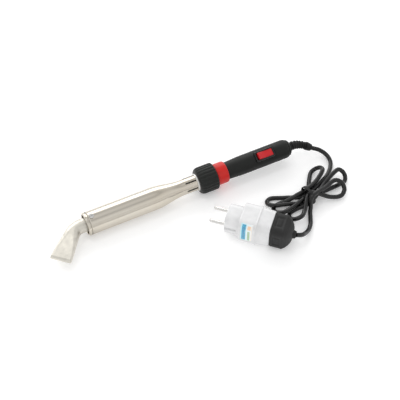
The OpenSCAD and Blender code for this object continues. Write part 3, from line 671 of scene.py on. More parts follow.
def cord_path(diameter):
    """The cord from the strain relief through the bundle to the back of the plug."""
    relief = relief_path()
    lead = MM * np.array([
        [195.8, 1.2, 7.5], [201.2, -6.5, 5], [202.3, -16, 3.5], [199, -25, 3], [192, -33.5, 3], [180, -42.5, 3]])
    folds = [fold_points(BUNDLE_MIDDLE, (f[0], *(MM * np.array(f[1:]))), (3 + 2.2 * k) * MM)
             for k, f in enumerate(FOLDS)]
    last = np.array([[*(BUNDLE_MIDDLE - MM * np.array([1, 2])), (3 + 2.2 * len(FOLDS)) * MM]])
    tail = MM * np.array([
        [142, -69, 4], [137.5, -79, 3], [133.5, -88, 3], [127.5, -96, 4.5], [120, -102.5, 9], [112.5, -107.5, 15]])
    plug_back = PLUG.put([[span("plug_body", PLUG)[1], 0, 0]])
    route = np.concatenate([relief[-1:], lead, *folds, last, tail, plug_back])
    home = smooth_path(route, PITCH_OF_FOLD_POINTS)
    return settle(home, PITCH_OF_FOLD_POINTS, diameter)


# ---------------------------------------------------------------- settings

class StageSettings(bpy.types.PropertyGroup):
    """Floor, lamps and camera."""

    floor_color: bpy.props.FloatVectorProperty(
        name="Floor colour", description="Colour of the pale floor", subtype="COLOR", size=3,
        default=(0.93, 0.93, 0.93), min=0, max=1)
    camera_distance: bpy.props.FloatProperty(
        name="Camera distance", description="From the camera to the point it looks at", default=1.3047, unit="LENGTH")
    camera_azimuth: bpy.props.FloatProperty(
        name="Camera azimuth", description="Turn of the camera round the object", default=math.radians(-25.35),
        unit="ROTATION")
    camera_elevation: bpy.props.FloatProperty(
        name="Camera elevation", description="Height of the camera above the horizon", default=math.radians(52.5),
        unit="ROTATION")


class CordSettings(bpy.types.PropertyGroup):
    """Cord, strain relief and tie."""

    diameter: bpy.props.FloatProperty(
        name="Cord diameter", description="Outer diameter of the cord", default=5.4 * MM, unit="LENGTH")
    ribs: bpy.props.IntProperty(
        name="Relief ribs", description="Number of ribs on the strain relief", default=7, min=3, max=12)
    color: bpy.props.FloatVectorProperty(
        name="Cord colour", description="Colour of the cord's sheath", subtype="COLOR", size=3,
        default=(0.008, 0.008, 0.008), min=0, max=1)


class MetalSettings(bpy.types.PropertyGroup):
    """Tip, barrel and front ring."""

    shank_diameter: bpy.props.FloatProperty(
        name="Shank diameter", description="Round part of the tip", default=17 * MM, unit="LENGTH")
    bend: bpy.props.FloatProperty(
        name="Bend", description="Angle of the tip's bend", default=math.radians(48), unit="ROTATION")
    edge_width: bpy.props.FloatProperty(
        name="Edge width", description="Width of the blade's working edge", default=25 * MM, unit="LENGTH")
    tip_color: bpy.props.FloatVectorProperty(
        name="Tip colour", description="Colour of the tinned tip", subtype="COLOR", size=3,
        default=(0.70, 0.67, 0.60), min=0, max=1)
    plate_color: bpy.props.FloatVectorProperty(
        name="Plate colour", description="Colour of the nickel plate", subtype="COLOR", size=3,
        default=(0.62, 0.58, 0.51), min=0, max=1)


class GripSettings(bpy.types.PropertyGroup):
    """Collar, red ring, handle and switch."""

    ribs: bpy.props.IntProperty(
        name="Collar ribs", description="Number of grooves round the collar", default=24, min=8, max=48)
    rib_depth: bpy.props.FloatProperty(
        name="Rib depth", description="Depth of the collar's grooves", default=0.7 * MM, unit="LENGTH")
    grip_color: bpy.props.FloatVectorProperty(
        name="Grip colour", description="Colour of the handle and the collar", subtype="COLOR", size=3,
        default=(0.011, 0.012, 0.011), min=0, max=1)
    accent_color: bpy.props.FloatVectorProperty(
        name="Accent colour", description="Colour of the ring and the rocker", subtype="COLOR", size=3,
        default=(0.62, 0.012, 0.008), min=0, max=1)


class PlugSettings(bpy.types.PropertyGroup):
    """Plug and adapter."""

    shell_color: bpy.props.FloatVectorProperty(
        name="Adapter colour", description="Colour of the adapter's shells", subtype="COLOR", size=3,
        default=(0.80, 0.80, 0.805), min=0, max=1)
    plug_color: bpy.props.FloatVectorProperty(
        name="Plug colour", description="Colour of the plug", subtype="COLOR", size=3,
        default=(0.022, 0.022, 0.022), min=0, max=1)
    band_color: bpy.props.FloatVectorProperty(
        name="Label band", description="Colour of the label's broad band", subtype="COLOR", size=3,
        default=(0.02, 0.36, 0.58), min=0, max=1)


# ---------------------------------------------------------------- stage and camera

# height of each band of the surroundings, from 0 straight down to 1 straight up, and its brightness
SKY_BANDS = (
    (0.0, 0.9), (0.50, 0.95), (0.545, 0.62), (0.60, 0.95), (0.72, 0.86), (0.80, 1.0), (0.90, 0.9), (0.955, 0.6),
    (1.0, 0.9))
LENS, SENSOR_WIDTH = 98.4, 36


def look_from(target, azimuth, elevation, distance):
    """Point at a distance from the target: azimuth turns from -Y towards +X, elevation lifts."""
    flat = math.cos(elevation)
    return Vector(target) + distance * Vector(
        (math.sin(azimuth) * flat, -math.cos(azimuth) * flat, math.sin(elevation)))


def area_lamp(name, place, target, size, power):
    """A soft rectangular lamp that faces the target."""
    lamp = bpy.data.lights.new(name, "AREA")
    lamp.shape = "RECTANGLE"
    lamp.size, lamp.size_y = size
    lamp.energy = power
    holder = bpy.data.objects.new(name, lamp)
    holder.location = place
    holder.rotation_euler = (Vector(target) - Vector(place)).to_track_quat("-Z", "Y").to_euler()
    bpy.context.scene.collection.objects.link(holder)


class IRON_OT_stage(bpy.types.Operator):
    """Makes the camera, the pale floor, the lamps and the surroundings"""

    bl_idname = "iron.stage"
    bl_label = "Stage"

    def execute(self, context):
        settings = context.scene.iron_stage
        scene = context.scene
        target = Vector((33.3 * MM, -1.5 * MM, 0))
        camera_data = bpy.data.cameras.new("camera")
        camera_data.lens = LENS
        camera_data.sensor_width = SENSOR_WIDTH
        camera_data.clip_start = 0.01
        camera = bpy.data.objects.new("camera", camera_data)
        camera.location = look_from(
            target, settings.camera_azimuth, settings.camera_elevation, settings.camera_distance)
        camera.rotation_euler = (target - camera.location).to_track_quat("-Z", "Y").to_euler()
        scene.collection.objects.link(camera)
        scene.camera = camera
        color = tuple(settings.floor_color)
        paper = Finish("floor_paper", color, 0.9, Emission_Color=(1, 1, 1), Emission_Strength=0.22)
        paper.color(paper.tones(paper.noise(900), 0.3, 0.7, shade(color, 0.995), color))
        side = np.linspace(-6, 6, 3)
        x, y = np.meshgrid(side, side)
        floor = surface("floor", np.stack([x, y, np.zeros_like(x)], -1), wrap=False, cap=False)
        if floor.data.polygons[0].normal.z < 0:
            floor.data.flip_normals()
        floor.data.materials.append(paper.material)
        world = bpy.data.worlds.new("studio")
        scene.world = world
        world.use_nodes = True
        tree = world.node_tree
        direction = tree.nodes.new("ShaderNodeTexCoord").outputs["Generated"]
        height = add_node(tree, "SeparateXYZ", {"Vector": direction}).outputs["Z"]
        share = add_node(tree, "MapRange", {"Value": height, "From Min": -1}).outputs["Result"]
        ramp = add_node(tree, "ValToRGB", {"Fac": share})
        elements = ramp.color_ramp.elements
        while len(elements) < len(SKY_BANDS):
            elements.new(0.5)
        for element, (position, value) in zip(elements, SKY_BANDS):
            element.position = position
            element.color = (value, value, value, 1)
        feed(tree, tree.nodes["Background"], {"Color": ramp.outputs["Color"], "Strength": 1.0})
        area_lamp("back_lamp", (0.25, 1.15, 0.72), (0.05, 0, 0.02), (2.0, 0.85), 9.5)
        area_lamp("top_lamp", (-0.25, 0.3, 1.6), (0, 0, 0), (0.3, 0.3), 1.6)
        scene.view_settings.view_transform = "Standard"
        return {"FINISHED"}


# ---------------------------------------------------------------- pieces

class IRON_OT_cord(bpy.types.Operator):
    """Makes the strain relief, the bundled cord and its tie"""

    bl_idname = "iron.cord"
    bl_label = "Cord"

    def execute(self, context):
        settings = context.scene.iron_cord
        sheath = cord_finish(tuple(settings.color))
        rubber = moulded_finish("relief_rubber", (0.014, 0.014, 0.014), 0.42, 0.62)
        path = cord_path(settings.diameter)
        fine = smooth_path(path, 1.2 * MM)
        cord = surface("cord", tube_rows(fine, np.full(len(fine), settings.diameter / 2), 20))
        mount_piece(cord, "iron", "cord_rubber", sheath, "cord_lead", "cord_hank", "cord_tail")
        relief = self.relief(settings, rubber)
        tie = self.tie(path, settings.diameter, rubber)
        return {"FINISHED"}

    def relief(self, settings, rubber):
        """Tapered sleeve: a radius that falls along the line, plus round ribs, then a plain knob."""
        line = relief_path()
        t = np.linspace(0, 1, len(line))
        ribbed = 0.74
        body = np.where(t < ribbed, 5.15 - 1.15 * t / ribbed, 4.9 - 1.25 * ((t - ribbed) / (1 - ribbed)) ** 2)
        wave = np.abs(np.sin(math.pi * settings.ribs * t / ribbed)) ** 0.7
        ribs = np.where(t < ribbed, 0.6 - 1.7 * (1 - wave), 0.25)
        ends = np.minimum(1, np.sqrt(np.clip((1 - t) / 0.03, 0, 1)) * 0.35 + 0.65)
        rows = tube_rows(line, (body + ribs) * ends * MM, 48)
        return mount_piece(surface("strain_relief_sleeve", rows, smooth=60), "iron", "relief_rubber",
                           rubber, "strain_relief")

    def tie(self, path, diameter, rubber):
        """Flat band: a rounded rectangle just outside the strands that cross at the bundle's middle."""
        turn = math.radians(10)
        along = np.array([math.cos(turn), math.sin(turn)])
        side = np.array([-along[1], along[0]])
        flat = path[:, :2] - BUNDLE_MIDDLE
        here = np.abs(flat @ along) < 3.5 * MM
        low, high = (flat @ side)[here].min(), (flat @ side)[here].max()
        top = path[here, 2].max() + diameter / 2
        half_w, half_h = (high - low) / 2 + diameter / 2 + 0.2 * MM, top / 2
        centre = BUNDLE_MIDDLE + side * (high + low) / 2
        place = Place([*centre, half_h + 0.4 * MM], [*along, 0], [*side, 0], [0, 0, 1])
        corner = min(half_w, half_h) - 0.5 * MM
        half_band, thick, sunk = 1.6 * MM, 0.7 * MM, 0.2 * MM
        rows = np.array([
            [x, half_w + grow - sunk, half_h + grow - sunk, corner]
            for x, grow in ((-half_band, 0), (-half_band, thick), (half_band, thick), (half_band, 0))])
        band = place.put(standing(rows[:, 0], box_rings(rows[:, 1:])[0]))
        return mount_piece(surface("cord_tie_band", band, loop=True), "iron", "relief_rubber", rubber, "cord_tie")


class IRON_OT_tip(bpy.types.Operator):
    """Makes the bent, flattened and tinned tip"""

    bl_idname = "iron.tip"
    bl_label = "Tip"

    def execute(self, context):
        settings = context.scene.iron_metal
        shank, edge_w, edge_t = settings.shank_diameter, settings.edge_width, 3 * MM
        inner_end = span("soldering_tip")[1]
        out, radius, blade, bevel = 5 * MM, 18 * MM, 38 * MM, 3 * MM
        arc = radius * settings.bend
        total = arc + blade
        s = np.concatenate([
            [-out - inner_end, -out - inner_end + 1 * MM], np.linspace(-out - 6 * MM, 0, 12),
            np.linspace(0, total - bevel, 90)[1:], np.linspace(total - bevel, total, 8)[1:]])
        turned = np.clip(s, 0, arc) / radius
        past = np.maximum(s - arc, 0)
        centre_x = -out - radius * np.sin(turned) - past * math.cos(settings.bend) - np.minimum(s, 0)
        centre_y = -radius * (1 - np.cos(turned)) - past * math.sin(settings.bend)
        flat = ease((s - 0.3 * arc) / (total - 0.3 * arc))
        width = shank + (edge_w - shank) * flat ** 1.4
        height = shank + (edge_t + 2.4 * MM - shank) * flat
        chamfer = np.clip((s - (total - bevel)) / bevel, 0, 1)
        height = height * (1 - chamfer) + edge_t * chamfer
        power = 2 / (2 + 5 * flat)
        angle = circle_angles(128)
        cos, sin = np.cos(angle), np.sin(angle)
        across = width[:, None] / 2 * np.sign(cos) * np.abs(cos) ** power[:, None]
        up = height[:, None] / 2 * np.sign(sin) * np.abs(sin) ** power[:, None]
        local = np.stack([
            centre_x[:, None] - across * np.sin(turned)[:, None],
            centre_y[:, None] + across * np.cos(turned)[:, None], up], -1)
        tip = surface("tinned_tip", IRON.put(local), smooth=30)
        mount_piece(tip, "tip", "tinned_copper", tinned_finish(tuple(settings.tip_color)), "soldering_tip")
        return {"FINISHED"}


class IRON_OT_barrel(bpy.types.Operator):
    """Makes the barrel with its cooling slots, the front ring and the bead at the neck"""

    bl_idname = "iron.barrel"
    bl_label = "Barrel"

    def execute(self, context):
        color = tuple(context.scene.iron_metal.plate_color)
        self.tube(nickel_finish("nickel_plate", color))
        self.ring(nickel_finish("ring_plate", color, 1.5))
        self.bead()
        return {"FINISHED"}

    def tube(self, plate):
        """Turned skin whose radius falls from body to neck as half a cosine wave. The quads of each slot
        are left out, and the rows at its ends are pulled into round ends."""
        start, end, body_r = span("barrel")
        neck_r, slots, slot_half, wall_depth = 9.5 * MM, 6, 1 * MM, 0.8 * MM
        open_columns, plain_columns = 8, 18
        rear = span("collar")[0]
        neck, straight = rear - 19 * MM, rear - 58 * MM
        slot_start, slot_end, margin = rear - 16.5 * MM, rear - 2.5 * MM, 1.2 * MM
        x = np.concatenate([
            np.linspace(start, straight, 40), np.linspace(straight, neck, 48)[1:], [slot_start - margin],
            np.linspace(slot_start, slot_end, 9), [slot_end + margin, end]])
        fall = np.clip((x - straight) / (neck - straight), 0, 1)
        r = neck_r + (body_r - neck_r) * (1 + np.cos(math.pi * fall)) / 2
        half = math.asin(slot_half / neck_r)
        inside = np.linspace(-half, half, open_columns + 1)[:-1]
        outside = np.linspace(half, 2 * math.pi / slots - half, plain_columns + 1)[:-1]
        turns = math.radians(21) + np.radians(360 / slots) * np.arange(slots)
        angles = (turns[:, None] + np.concatenate([inside, outside])).ravel()
        steps = np.arange(plain_columns) / 3
        across = np.tile(np.concatenate([inside / half, 1 + np.minimum(steps, plain_columns / 3 - steps)]), slots)
        bulge = np.where(
            np.abs(across) <= 1, 1 - np.sqrt(np.clip(1 - across ** 2, 0, 1)), np.clip(2 - np.abs(across), 0, 1))
        stations = np.repeat(x[:, None], len(angles), 1)
        for station, way in ((slot_start, 1), (slot_end, -1)):
            stations[np.abs(x - station).argmin()] += way * bulge * 0.9 * MM
        open_rows = (x[:-1] >= slot_start - 1e-6) & (x[1:] <= slot_end + 1e-6)
        is_open = np.arange(len(angles)) % (open_columns + plain_columns) < open_columns
        barrel = surface("barrel_tube", turn_rows(stations, r, angles), cap=False,
                         hole=open_rows[:, None] & is_open[None])
        wall = thicken(barrel, wall_depth).modifiers["Wall"]
        wall.material_offset = 1
        wall.material_offset_rim = 1
        mount_piece(barrel, "iron", "nickel_steel", plate, "barrel")
        # Second material, on the inner face and the slot rims: near black, partly real scorch of the hot barrel and
        # partly painted shade that keeps the slots dark
        barrel.data.materials.append(metal_finish("scorched_inside", (0.05, 0.045, 0.04), 0.5, 0.8, 0.6))

    def ring(self, plate):
        """Front ring: a rounded rim, a groove, and the spigot that sits in the barrel."""
        x0, _, ring_r = span("front_ring")
        outline = np.array([
            [0, 12], [0, 13.2], [0.35, 13.85], [1.0, 14.2], [3, 14.2], [3, 12.6], [4.1, 12.6], [4.3, 13.1],
            [6.1, 13.1], [6.1, 12]]) * MM
        ring = lathe("front_ring_turned", outline + [x0, ring_r - outline.max()], 0.25 * MM)
        mount_piece(ring, "iron", "nickel_steel", plate, "front_ring")

    def bead(self):
        """Narrow bead round the neck, in front of the collar."""
        x0, x1, rim = span("neck_ferrule")
        inner = 9.55 * MM
        outline = [[x0, inner], [x0, rim - 0.5 * MM], [x0 + 0.8 * MM, rim], [x1, rim], [x1, inner]]
        mount_piece(lathe("neck_bead", outline, 0.35 * MM), "iron", "nickel_steel",
                    metal_finish("bead_steel", (0.72, 0.71, 0.69), 0.3, 0.45, 0.85), "neck_ferrule")


class IRON_OT_collar(bpy.types.Operator):
    """Makes the ribbed collar and the red ring"""

    bl_idname = "iron.collar"
    bl_label = "Collar and red ring"

    def execute(self, context):
        settings = context.scene.iron_grip
        x0, x1, rim = span("collar")
        nose_x, nose_r = 6 * MM, 4 * MM
        quarter = np.radians(np.linspace(0, 90, 12))
        front = np.stack([x0 + nose_x * (1 - np.cos(quarter)), rim - nose_r + nose_r * np.sin(quarter)], 1)
        back = rounded([[x0 + nose_x, rim], [x1 - 1.2 * MM, rim], [x1, rim - 1.2 * MM], [x1, 12 * MM]], 0.5 * MM)
        inside = np.array([[x1 - 3 * MM, 10.2 * MM], [x0 + 3 * MM, 10.2 * MM], [x0 + 0.1 * MM, 9.7 * MM]])
        shape = np.concatenate([[[x0, 10.5 * MM]], front, refine(back[1:], 1 * MM), inside])
        per_rib = 12
        angles = circle_angles(settings.ribs * per_rib)
        place_in_rib = np.abs((np.arange(len(angles)) % per_rib) / per_rib - 0.5) * 2
        groove = ease((place_in_rib - 0.38) / 0.35)
        outer = ease((shape[:, 1] - (rim - 2.6 * MM)) / (2 * MM))
        depth = settings.rib_depth * outer[:, None] * groove[None]
        rows = turn_rows(shape[:, 0], shape[:, 1][:, None] - depth, angles)
        collar = surface("collar_ribbed", rows, loop=True, cap=False, smooth=40)
        bakelite = moulded_finish("black_bakelite", shade(settings.grip_color, 1.3), 0.36, 0.52, grain=2200)
        mount_piece(collar, "iron", "black_bakelite", bakelite, "collar")

        x0, x1, rim = span("red_ring")
        inner = 9.9 * MM
        outline = [[x0, inner], [x0, rim - 0.9 * MM], [x0 + 0.7 * MM, rim - 0.15 * MM], [x0 + 3 * MM, rim],
                   [x1 - 2.2 * MM, rim], [x1 - 1.9 * MM, rim - 0.35 * MM], [x1 - 1.5 * MM, rim - 0.35 * MM],
                   [x1 - 1.2 * MM, rim - 0.1 * MM], [x1, rim - 0.8 * MM], [x1, inner]]
        mount_piece(lathe("red_ring_turned", outline, 0.4 * MM), "iron", "red_plastic",
                    gloss_finish("red_plastic", tuple(settings.accent_color), 0.34, coat=0.1), "red_ring")
        return {"FINISHED"}


class IRON_OT_handle(bpy.types.Operator):
    """Makes the handle with the switch opening, and the rear cap"""

    bl_idname = "iron.handle"
    bl_label = "Handle"

    def execute(self, context):
        settings = context.scene.iron_grip
        start, end, full = span("handle")
        grip = span("red_ring")[1] + 0.3 * MM
        waist = full - 0.9 * MM
        swell = np.linspace(0, 1, 20)
        nose_r, swell_len, end_len, end_round, end_bore = np.array([9.8, 23, 5, 1.6, 8]) * MM
        body_x = grip + swell_len * swell
        body_r = waist + (full - waist) * (1 - np.cos(math.pi * swell)) / 2
        low, high, _ = span("switch_housing")
        open_x0, open_x1 = low - 0.1 * MM, high + 0.1 * MM
        middle_x = np.concatenate([
            np.linspace(body_x[-1], open_x0, 8)[1:], np.linspace(open_x0, open_x1, 20)[1:],
            np.linspace(open_x1, end - end_len, 10)[1:]])
        quarter = np.radians(np.linspace(0, 90, 9))[1:]
        end_x = end - end_len + end_len * np.sin(quarter)
        end_r = full - end_round + end_round * np.cos(quarter)
        x = np.concatenate([[start, grip, grip], body_x[1:], middle_x, end_x, [end]])
        r = np.concatenate([[nose_r, nose_r, waist], body_r[1:], np.full(len(middle_x), full), end_r, [end_bore]])
        open_columns = 32
        half = math.asin(6.3 * MM / full)
        angles = SWITCH_TURN + np.concatenate([
            np.linspace(-half, half, open_columns + 1)[:-1], np.linspace(half, 2 * math.pi - half, 97)[:-1]])
        seam = np.exp(-((np.abs(np.sin(angles)) - 1) / 0.0006) ** 2)
        skin = (x > grip + 2 * MM) & (x < end - 4 * MM)
        rows = turn_rows(x, r[:, None] - 0.12 * MM * seam[None] * skin[:, None], angles)
        open_rows = (x[:-1] >= open_x0 - 1e-6) & (x[1:] <= open_x1 + 1e-6)
        hole = open_rows[:, None] & (np.arange(len(angles)) < open_columns)[None]
        handle = surface("handle_grip", rows, cap=False, hole=hole)
        thicken(handle, 2.2 * MM)
        grip_finish = moulded_finish("grip_rubber", tuple(settings.grip_color), 0.42, 0.6, grain=2800)
        mount_piece(handle, "iron", "black_grip", grip_finish, "handle")

        x1 = span("rear_cap")[1]
        face, rim, bore, edge = end + 0.2 * MM, full - 1.7 * MM, 3.1 * MM, 1.9 * MM
        outline = [[face, bore], [face, rim], [x1 - edge, rim], [x1, rim - edge], [x1, bore]]
        cap = lathe("rear_cap_turned", outline, 0.9 * MM, steps=6)
        cap_finish = moulded_finish("cap_plastic", shade(settings.grip_color, 1.2), 0.35, 0.5, grain=2200)
        mount_piece(cap, "iron", "black_bakelite", cap_finish, "rear_cap")
        return {"FINISHED"}


class IRON_OT_switch(bpy.types.Operator):
    """Makes the switch's bezel and its rocker"""

    bl_idname = "iron.switch"
    bl_label = "Switch"

    def execute(self, context):
        settings = context.scene.iron_grip
        top = HANDLE_RADIUS + 0.8 * MM
        stations = np.array([
            [-15, 10.9, 5.2, 0.6], [-3.6, 10.9, 5.2, 0.6], [-3.6, 12.3, 6.1, 1.6], [-0.7, 12.4, 6.2, 1.6],
            [-0.2, 12.15, 5.95, 1.4], [0, 11.7, 5.5, 1.1], [0, 10.9, 4.85, 0.7], [-0.15, 10.65, 4.6, 0.5],
            [-0.6, 10.55, 4.5, 0.4], [-13.8, 10.55, 4.5, 0.4]]) * MM
        rings, _ = box_rings(stations[:, 1:], 6, 6)
        height = np.repeat(top + stations[:, :1], rings.shape[1], 1)
        local = np.concatenate([rings, height[..., None]], -1)
        bezel = surface("switch_bezel", SWITCH.put(local), smooth=40)
        mount_piece(bezel, "iron", "black_gloss",
                    moulded_finish("bezel_plastic", (0.012,) * 3, 0.25, 0.4, coat=0.3), "switch_housing")

        half_x, half_y, top = 9.6 * MM, 4.3 * MM, HANDLE_RADIUS + 1.8 * MM
        scale = np.concatenate([np.linspace(0.06, 0.92, 9), [0.965, 0.99, 1.0, 1.0, 0.995, 0.9]])
        drop = np.concatenate([np.zeros(9), [0.08, 0.28, 0.6, 2.4, 4.6, 5.6]]) * MM
        loops, _ = box_rings(scale[:, None] * [half_x, half_y, 0.9 * MM], 10, 6)
        on_top = np.arange(len(scale))[:, None] < 12
        dish = 1.5 * MM * (1 - (loops[..., 0] / half_x) ** 2) * on_top
        z = top - dish - drop[:, None]
        rocker = surface("switch_rocker_cap", ROCKER.put(np.concatenate([loops, z[..., None]], -1)), smooth=40)
        mount_piece(rocker, "rocker", "red_rocker",
                    gloss_finish("rocker_red", (0.62, 0.014, 0.02), 0.3, coat=0.15, glow=0.1), "switch_rocker")
        return {"FINISHED"}


class IRON_OT_plug(bpy.types.Operator):
    """Makes the black plug with its panels and its rounded back"""

    bl_idname = "iron.plug"
    bl_label = "Plug"

    def execute(self, context):
        settings = context.scene.iron_plug
        x0, x1, _ = span("plug_body", PLUG)
        profile = np.array([
            [0, 15.2, 6], [0.15, 16.0, 6.6], [0.6, 16.35, 6.9], [1.2, 16.5, 7], [14.6, 16.5, 7], [15.4, 16.3, 7],
            [15.9, 15.9, 6.9], [16.4, 15.4, 6.8], [17.6, 14.9, 6.9], [19.4, 13.8, 7.0], [21.4, 11.8, 6.9],
            [23.0, 9.9, 6.8], [23.9, 8.2, 6.6], [24.3, 6.4, 5.6], [24.6, 4.9, 4.4], [27.4, 4.3, 4.2],
            [27.75, 4.0, 3.9], [27.9, 3.2, 3.1]]) * MM
        fine = refine(profile, 0.7 * MM)
        points, normal = box_rings(fine[:, [1, 1, 2]], 22, 10)
        x = fine[:, :1]
        side = np.where(np.abs(normal[:, 0]) > 0.99, points[..., 1], points[..., 0])
        flat = (np.abs(normal).max(1) > 0.999)[None]

        def panel(first, last, half, edge):
            """1 on a rectangle between two stations and 0 outside, with eased edges."""
            return ease((x - first * MM) / (edge * MM)) * ease((last * MM - x) / (edge * MM)) * ease(
                (half * MM - np.abs(side)) / (edge * MM))

        depth = (0.65 * panel(3.0, 12.8, 7.5, 0.7) - 0.5 * panel(5.0, 10.8, 5.2, 0.6)) * flat * MM
        ridges = np.exp(-((x - [[1.6 * MM, 14.2 * MM]]) / (0.5 * MM)) ** 2).sum(1, keepdims=True)
        on_sides = x < 15.5 * MM
        points = points - ((depth + 0.35 * MM - 0.35 * MM * ridges) * on_sides)[..., None] * normal
        local = standing(x0 + x, points)
        plug = surface("plug_shell", PLUG.put(local), smooth=50)
        rubber = moulded_finish("plug_rubber", tuple(settings.plug_color), 0.45, 0.65, grain=2000, depth=0.00006)
        mount_piece(plug, "iron", "plug_rubber", rubber, "plug_body")
        return {"FINISHED"}


class IRON_OT_adapter(bpy.types.Operator):
    """Makes the white adapter's shells, its wall pins and its label"""

    bl_idname = "iron.adapter"
    bl_label = "Adapter"

    def execute(self, context):
        settings = context.scene.iron_plug
        white = moulded_finish("white_shell", tuple(settings.shell_color), 0.28, 0.42, grain=2400,
                               depth=0.00002, coat=0.15, dust=1.03, sheen=0.5)
        self.front(white)
        self.body(white)
        pins = self.pins()
        mount_piece(pins, "adapter", "nickel_pin",
                    metal_finish("pin_nickel", (0.72, 0.71, 0.69), 0.18, 0.34, 0.85), "adapter_pins")
        label = self.label()
        mount_piece(label, "adapter", "label_paper", label_finish(tuple(settings.band_color)), "adapter_label")
        return {"FINISHED"}

    def front(self, white):
        """Round front: rounded squares along X, sunk along both sides where the guide grooves run."""
        profile = np.array([
            [0, 14.2, 10.2], [0.2, 15.0, 10.7], [0.7, 15.4, 10.95], [1.4, 15.5, 11], [17.2, 15.5, 11],
            [17.3, 14.6, 10.2], [20, 14.6, 10.2]]) * MM
        fine = refine(profile, 0.6 * MM)
        points, normal = box_rings(fine[:, [1, 1, 2]], 26, 12)
        x = fine[:, :1]
        groove = ease((2.2 * MM - np.abs(points[..., 1])) / (0.3 * MM)) * ease((14.3 * MM - x) / (0.6 * MM))
        side = (np.abs(normal[:, 0]) > 0.9)[None]
        points = points - (1.9 * MM * groove * side)[..., None] * normal
        shell = surface("adapter_front_shell", PLUG.put(standing(x, points)), smooth=45)
        mount_piece(shell, "adapter", "white_plastic", white, "adapter_front")

    def body(self, white):
        """Main body: rounded rectangles along X with a raised ridge, then a taper to the plug."""
        stations = np.array([
            [17.05, 17.9, 16.4, 8.6], [17.2, 18.8, 17.3, 9.4], [17.8, 19.3, 17.8, 9.9], [18.8, 19.5, 18, 10],
            [36.6, 19.5, 18, 10], [37.0, 19.7, 18.2, 10.1], [37.3, 20.05, 18.55, 10.5], [37.8, 20.2, 18.7, 10.6],
            [38.3, 20.05, 18.55, 10.5], [38.6, 19.5, 18.1, 10.2], [38.9, 19.1, 17.8, 9.7],
            [53.2, 17.1, 17.1, 8.1], [53.7, 16.9, 16.9, 8], [53.95, 16.4, 16.4, 7.6],
            [53.95, 15.2, 15.2, 6.6], [50, 14.9, 14.9, 6.4]]) * MM
        fine = refine(stations, 1.2 * MM)
        rings, _ = box_rings(fine[:, 1:], 16, 12)
        shell = surface("adapter_body_shell", PLUG.put(standing(fine[:, 0], rings)), smooth=45)
        mount_piece(shell, "adapter", "white_plastic", white, "adapter_body")

    def pins(self):
        """Two round wall pins with domed ends, each a surface of revolution beside the plug's axis."""
        r = span("adapter_pins", PLUG)[2] - PIN_PITCH / 2
        dome = np.radians(np.linspace(0, 90, 9))
        x = np.concatenate([-WALL_PIN_LENGTH + r * 0.8 * (1 - np.cos(dome)), [5.9 * MM, 6 * MM]])
        radii = np.concatenate([0.02 * MM + (r - 0.02 * MM) * np.sin(dome), [r, 0.5 * r]])
        rows = [turn_rows(x, radii, circle_angles(48), PLUG, way * PIN_PITCH / 2) for way in (-1, 1)]
        first, second = surface("wall_pins", rows[0]), surface("second_pin", rows[1])
        with bpy.context.temp_override(active_object=first, selected_editable_objects=[first, second]):
            bpy.ops.object.join()
        return first

    def label(self):
        """Thin sticker: the body's own outline between two places round it, a hair further out."""
        low, high, _ = span("adapter_label", PLUG)
        lift, inset, lowest = 0.1 * MM, 0.3 * MM, -7.5 * MM
        ring, normal = box_loop(19.5 * MM + lift, 18 * MM + lift, 10 * MM + lift, 24, 20)
        strip = ring[(ring[:, 0] < 0) & (normal[:, 0] < -0.42) & (ring[:, 1] > lowest)]
        strip = strip[np.argsort(strip[:, 1])]
        x = np.linspace(low + inset, high - inset, 12)
        sheet = standing(x, np.repeat(strip[None], len(x), 0))
        sticker = surface("label_sheet", PLUG.put(sheet), wrap=False, cap=False)
        if Vector(-PLUG.axes[1]).dot(sticker.data.polygons[0].normal) < 0:
            sticker.data.flip_normals()
        return thicken(sticker, 0.08 * MM)


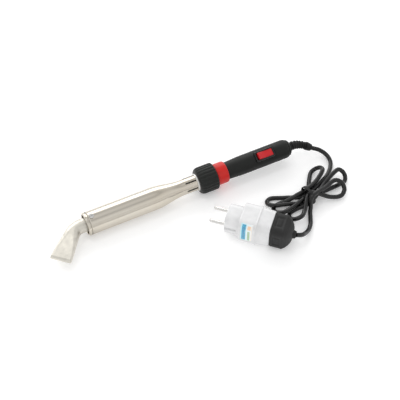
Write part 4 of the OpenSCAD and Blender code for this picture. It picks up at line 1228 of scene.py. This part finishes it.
class IRON_OT_inner(bpy.types.Operator):
    """Gives the inner CAD pieces their finishes"""

    bl_idname = "iron.inner"
    bl_label = "Inner finishes"

    def execute(self, context):
        slots = {row["node"]: row["material_slot"] for row in frame["record"]["subparts"]}
        made = {slot: bpy.data.materials[name] for slot, name in (
            ("cord_rubber", "cord_sheath"), ("white_plastic", "white_shell"), ("nickel_steel", "nickel_plate"),
            ("black_bakelite", "black_bakelite"))}
        for name, node in frame["nodes"].items():
            if node.hide_render:
                continue
            slot = slots[name]
            if slot not in made:
                maker, *values = INNER_FINISHES[slot]
                made[slot] = maker(*values)
            node.data.materials.clear()
            node.data.materials.append(made[slot])
        return {"FINISHED"}


class IRON_PT_panel(bpy.types.Panel):
    """Lists the pieces and their settings"""

    bl_idname = "IRON_PT_panel"
    bl_label = "Soldering iron"
    bl_space_type = "VIEW_3D"
    bl_region_type = "UI"
    bl_category = "Soldering iron"

    def draw(self, context):
        for pointer, operators in PANEL_ROWS:
            box = self.layout.box()
            settings = getattr(context.scene, pointer)
            for name in settings.__annotations__:
                box.prop(settings, name)
            for operator in operators:
                box.operator(operator)


SETTINGS = {
    "iron_stage": StageSettings, "iron_cord": CordSettings, "iron_metal": MetalSettings,
    "iron_grip": GripSettings, "iron_plug": PlugSettings,
}
PANEL_ROWS = (
    ("iron_stage", ("iron.stage",)),
    ("iron_cord", ("iron.cord",)),
    ("iron_metal", ("iron.tip", "iron.barrel")),
    ("iron_grip", ("iron.collar", "iron.handle", "iron.switch")),
    ("iron_plug", ("iron.plug", "iron.adapter", "iron.inner")),
)
OPERATORS = (
    IRON_OT_stage, IRON_OT_cord, IRON_OT_tip, IRON_OT_barrel, IRON_OT_collar, IRON_OT_handle,
    IRON_OT_switch, IRON_OT_plug, IRON_OT_adapter, IRON_OT_inner,
)


def register():
    """Registers the classes and gives the scene its settings."""
    for cls in (*SETTINGS.values(), *OPERATORS, IRON_PT_panel):
        bpy.utils.register_class(cls)
    for pointer, cls in SETTINGS.items():
        setattr(bpy.types.Scene, pointer, bpy.props.PointerProperty(type=cls))


def unregister():
    """Takes the settings and the classes away again."""
    for pointer in SETTINGS:
        delattr(bpy.types.Scene, pointer)
    for cls in reversed((*SETTINGS.values(), *OPERATORS, IRON_PT_panel)):
        bpy.utils.unregister_class(cls)


def main():
    register()
    for _, operators in PANEL_ROWS:
        for name in operators:
            group, call = name.split(".")
            getattr(getattr(bpy.ops, group), call)()


if __name__ == "__main__":
    main()
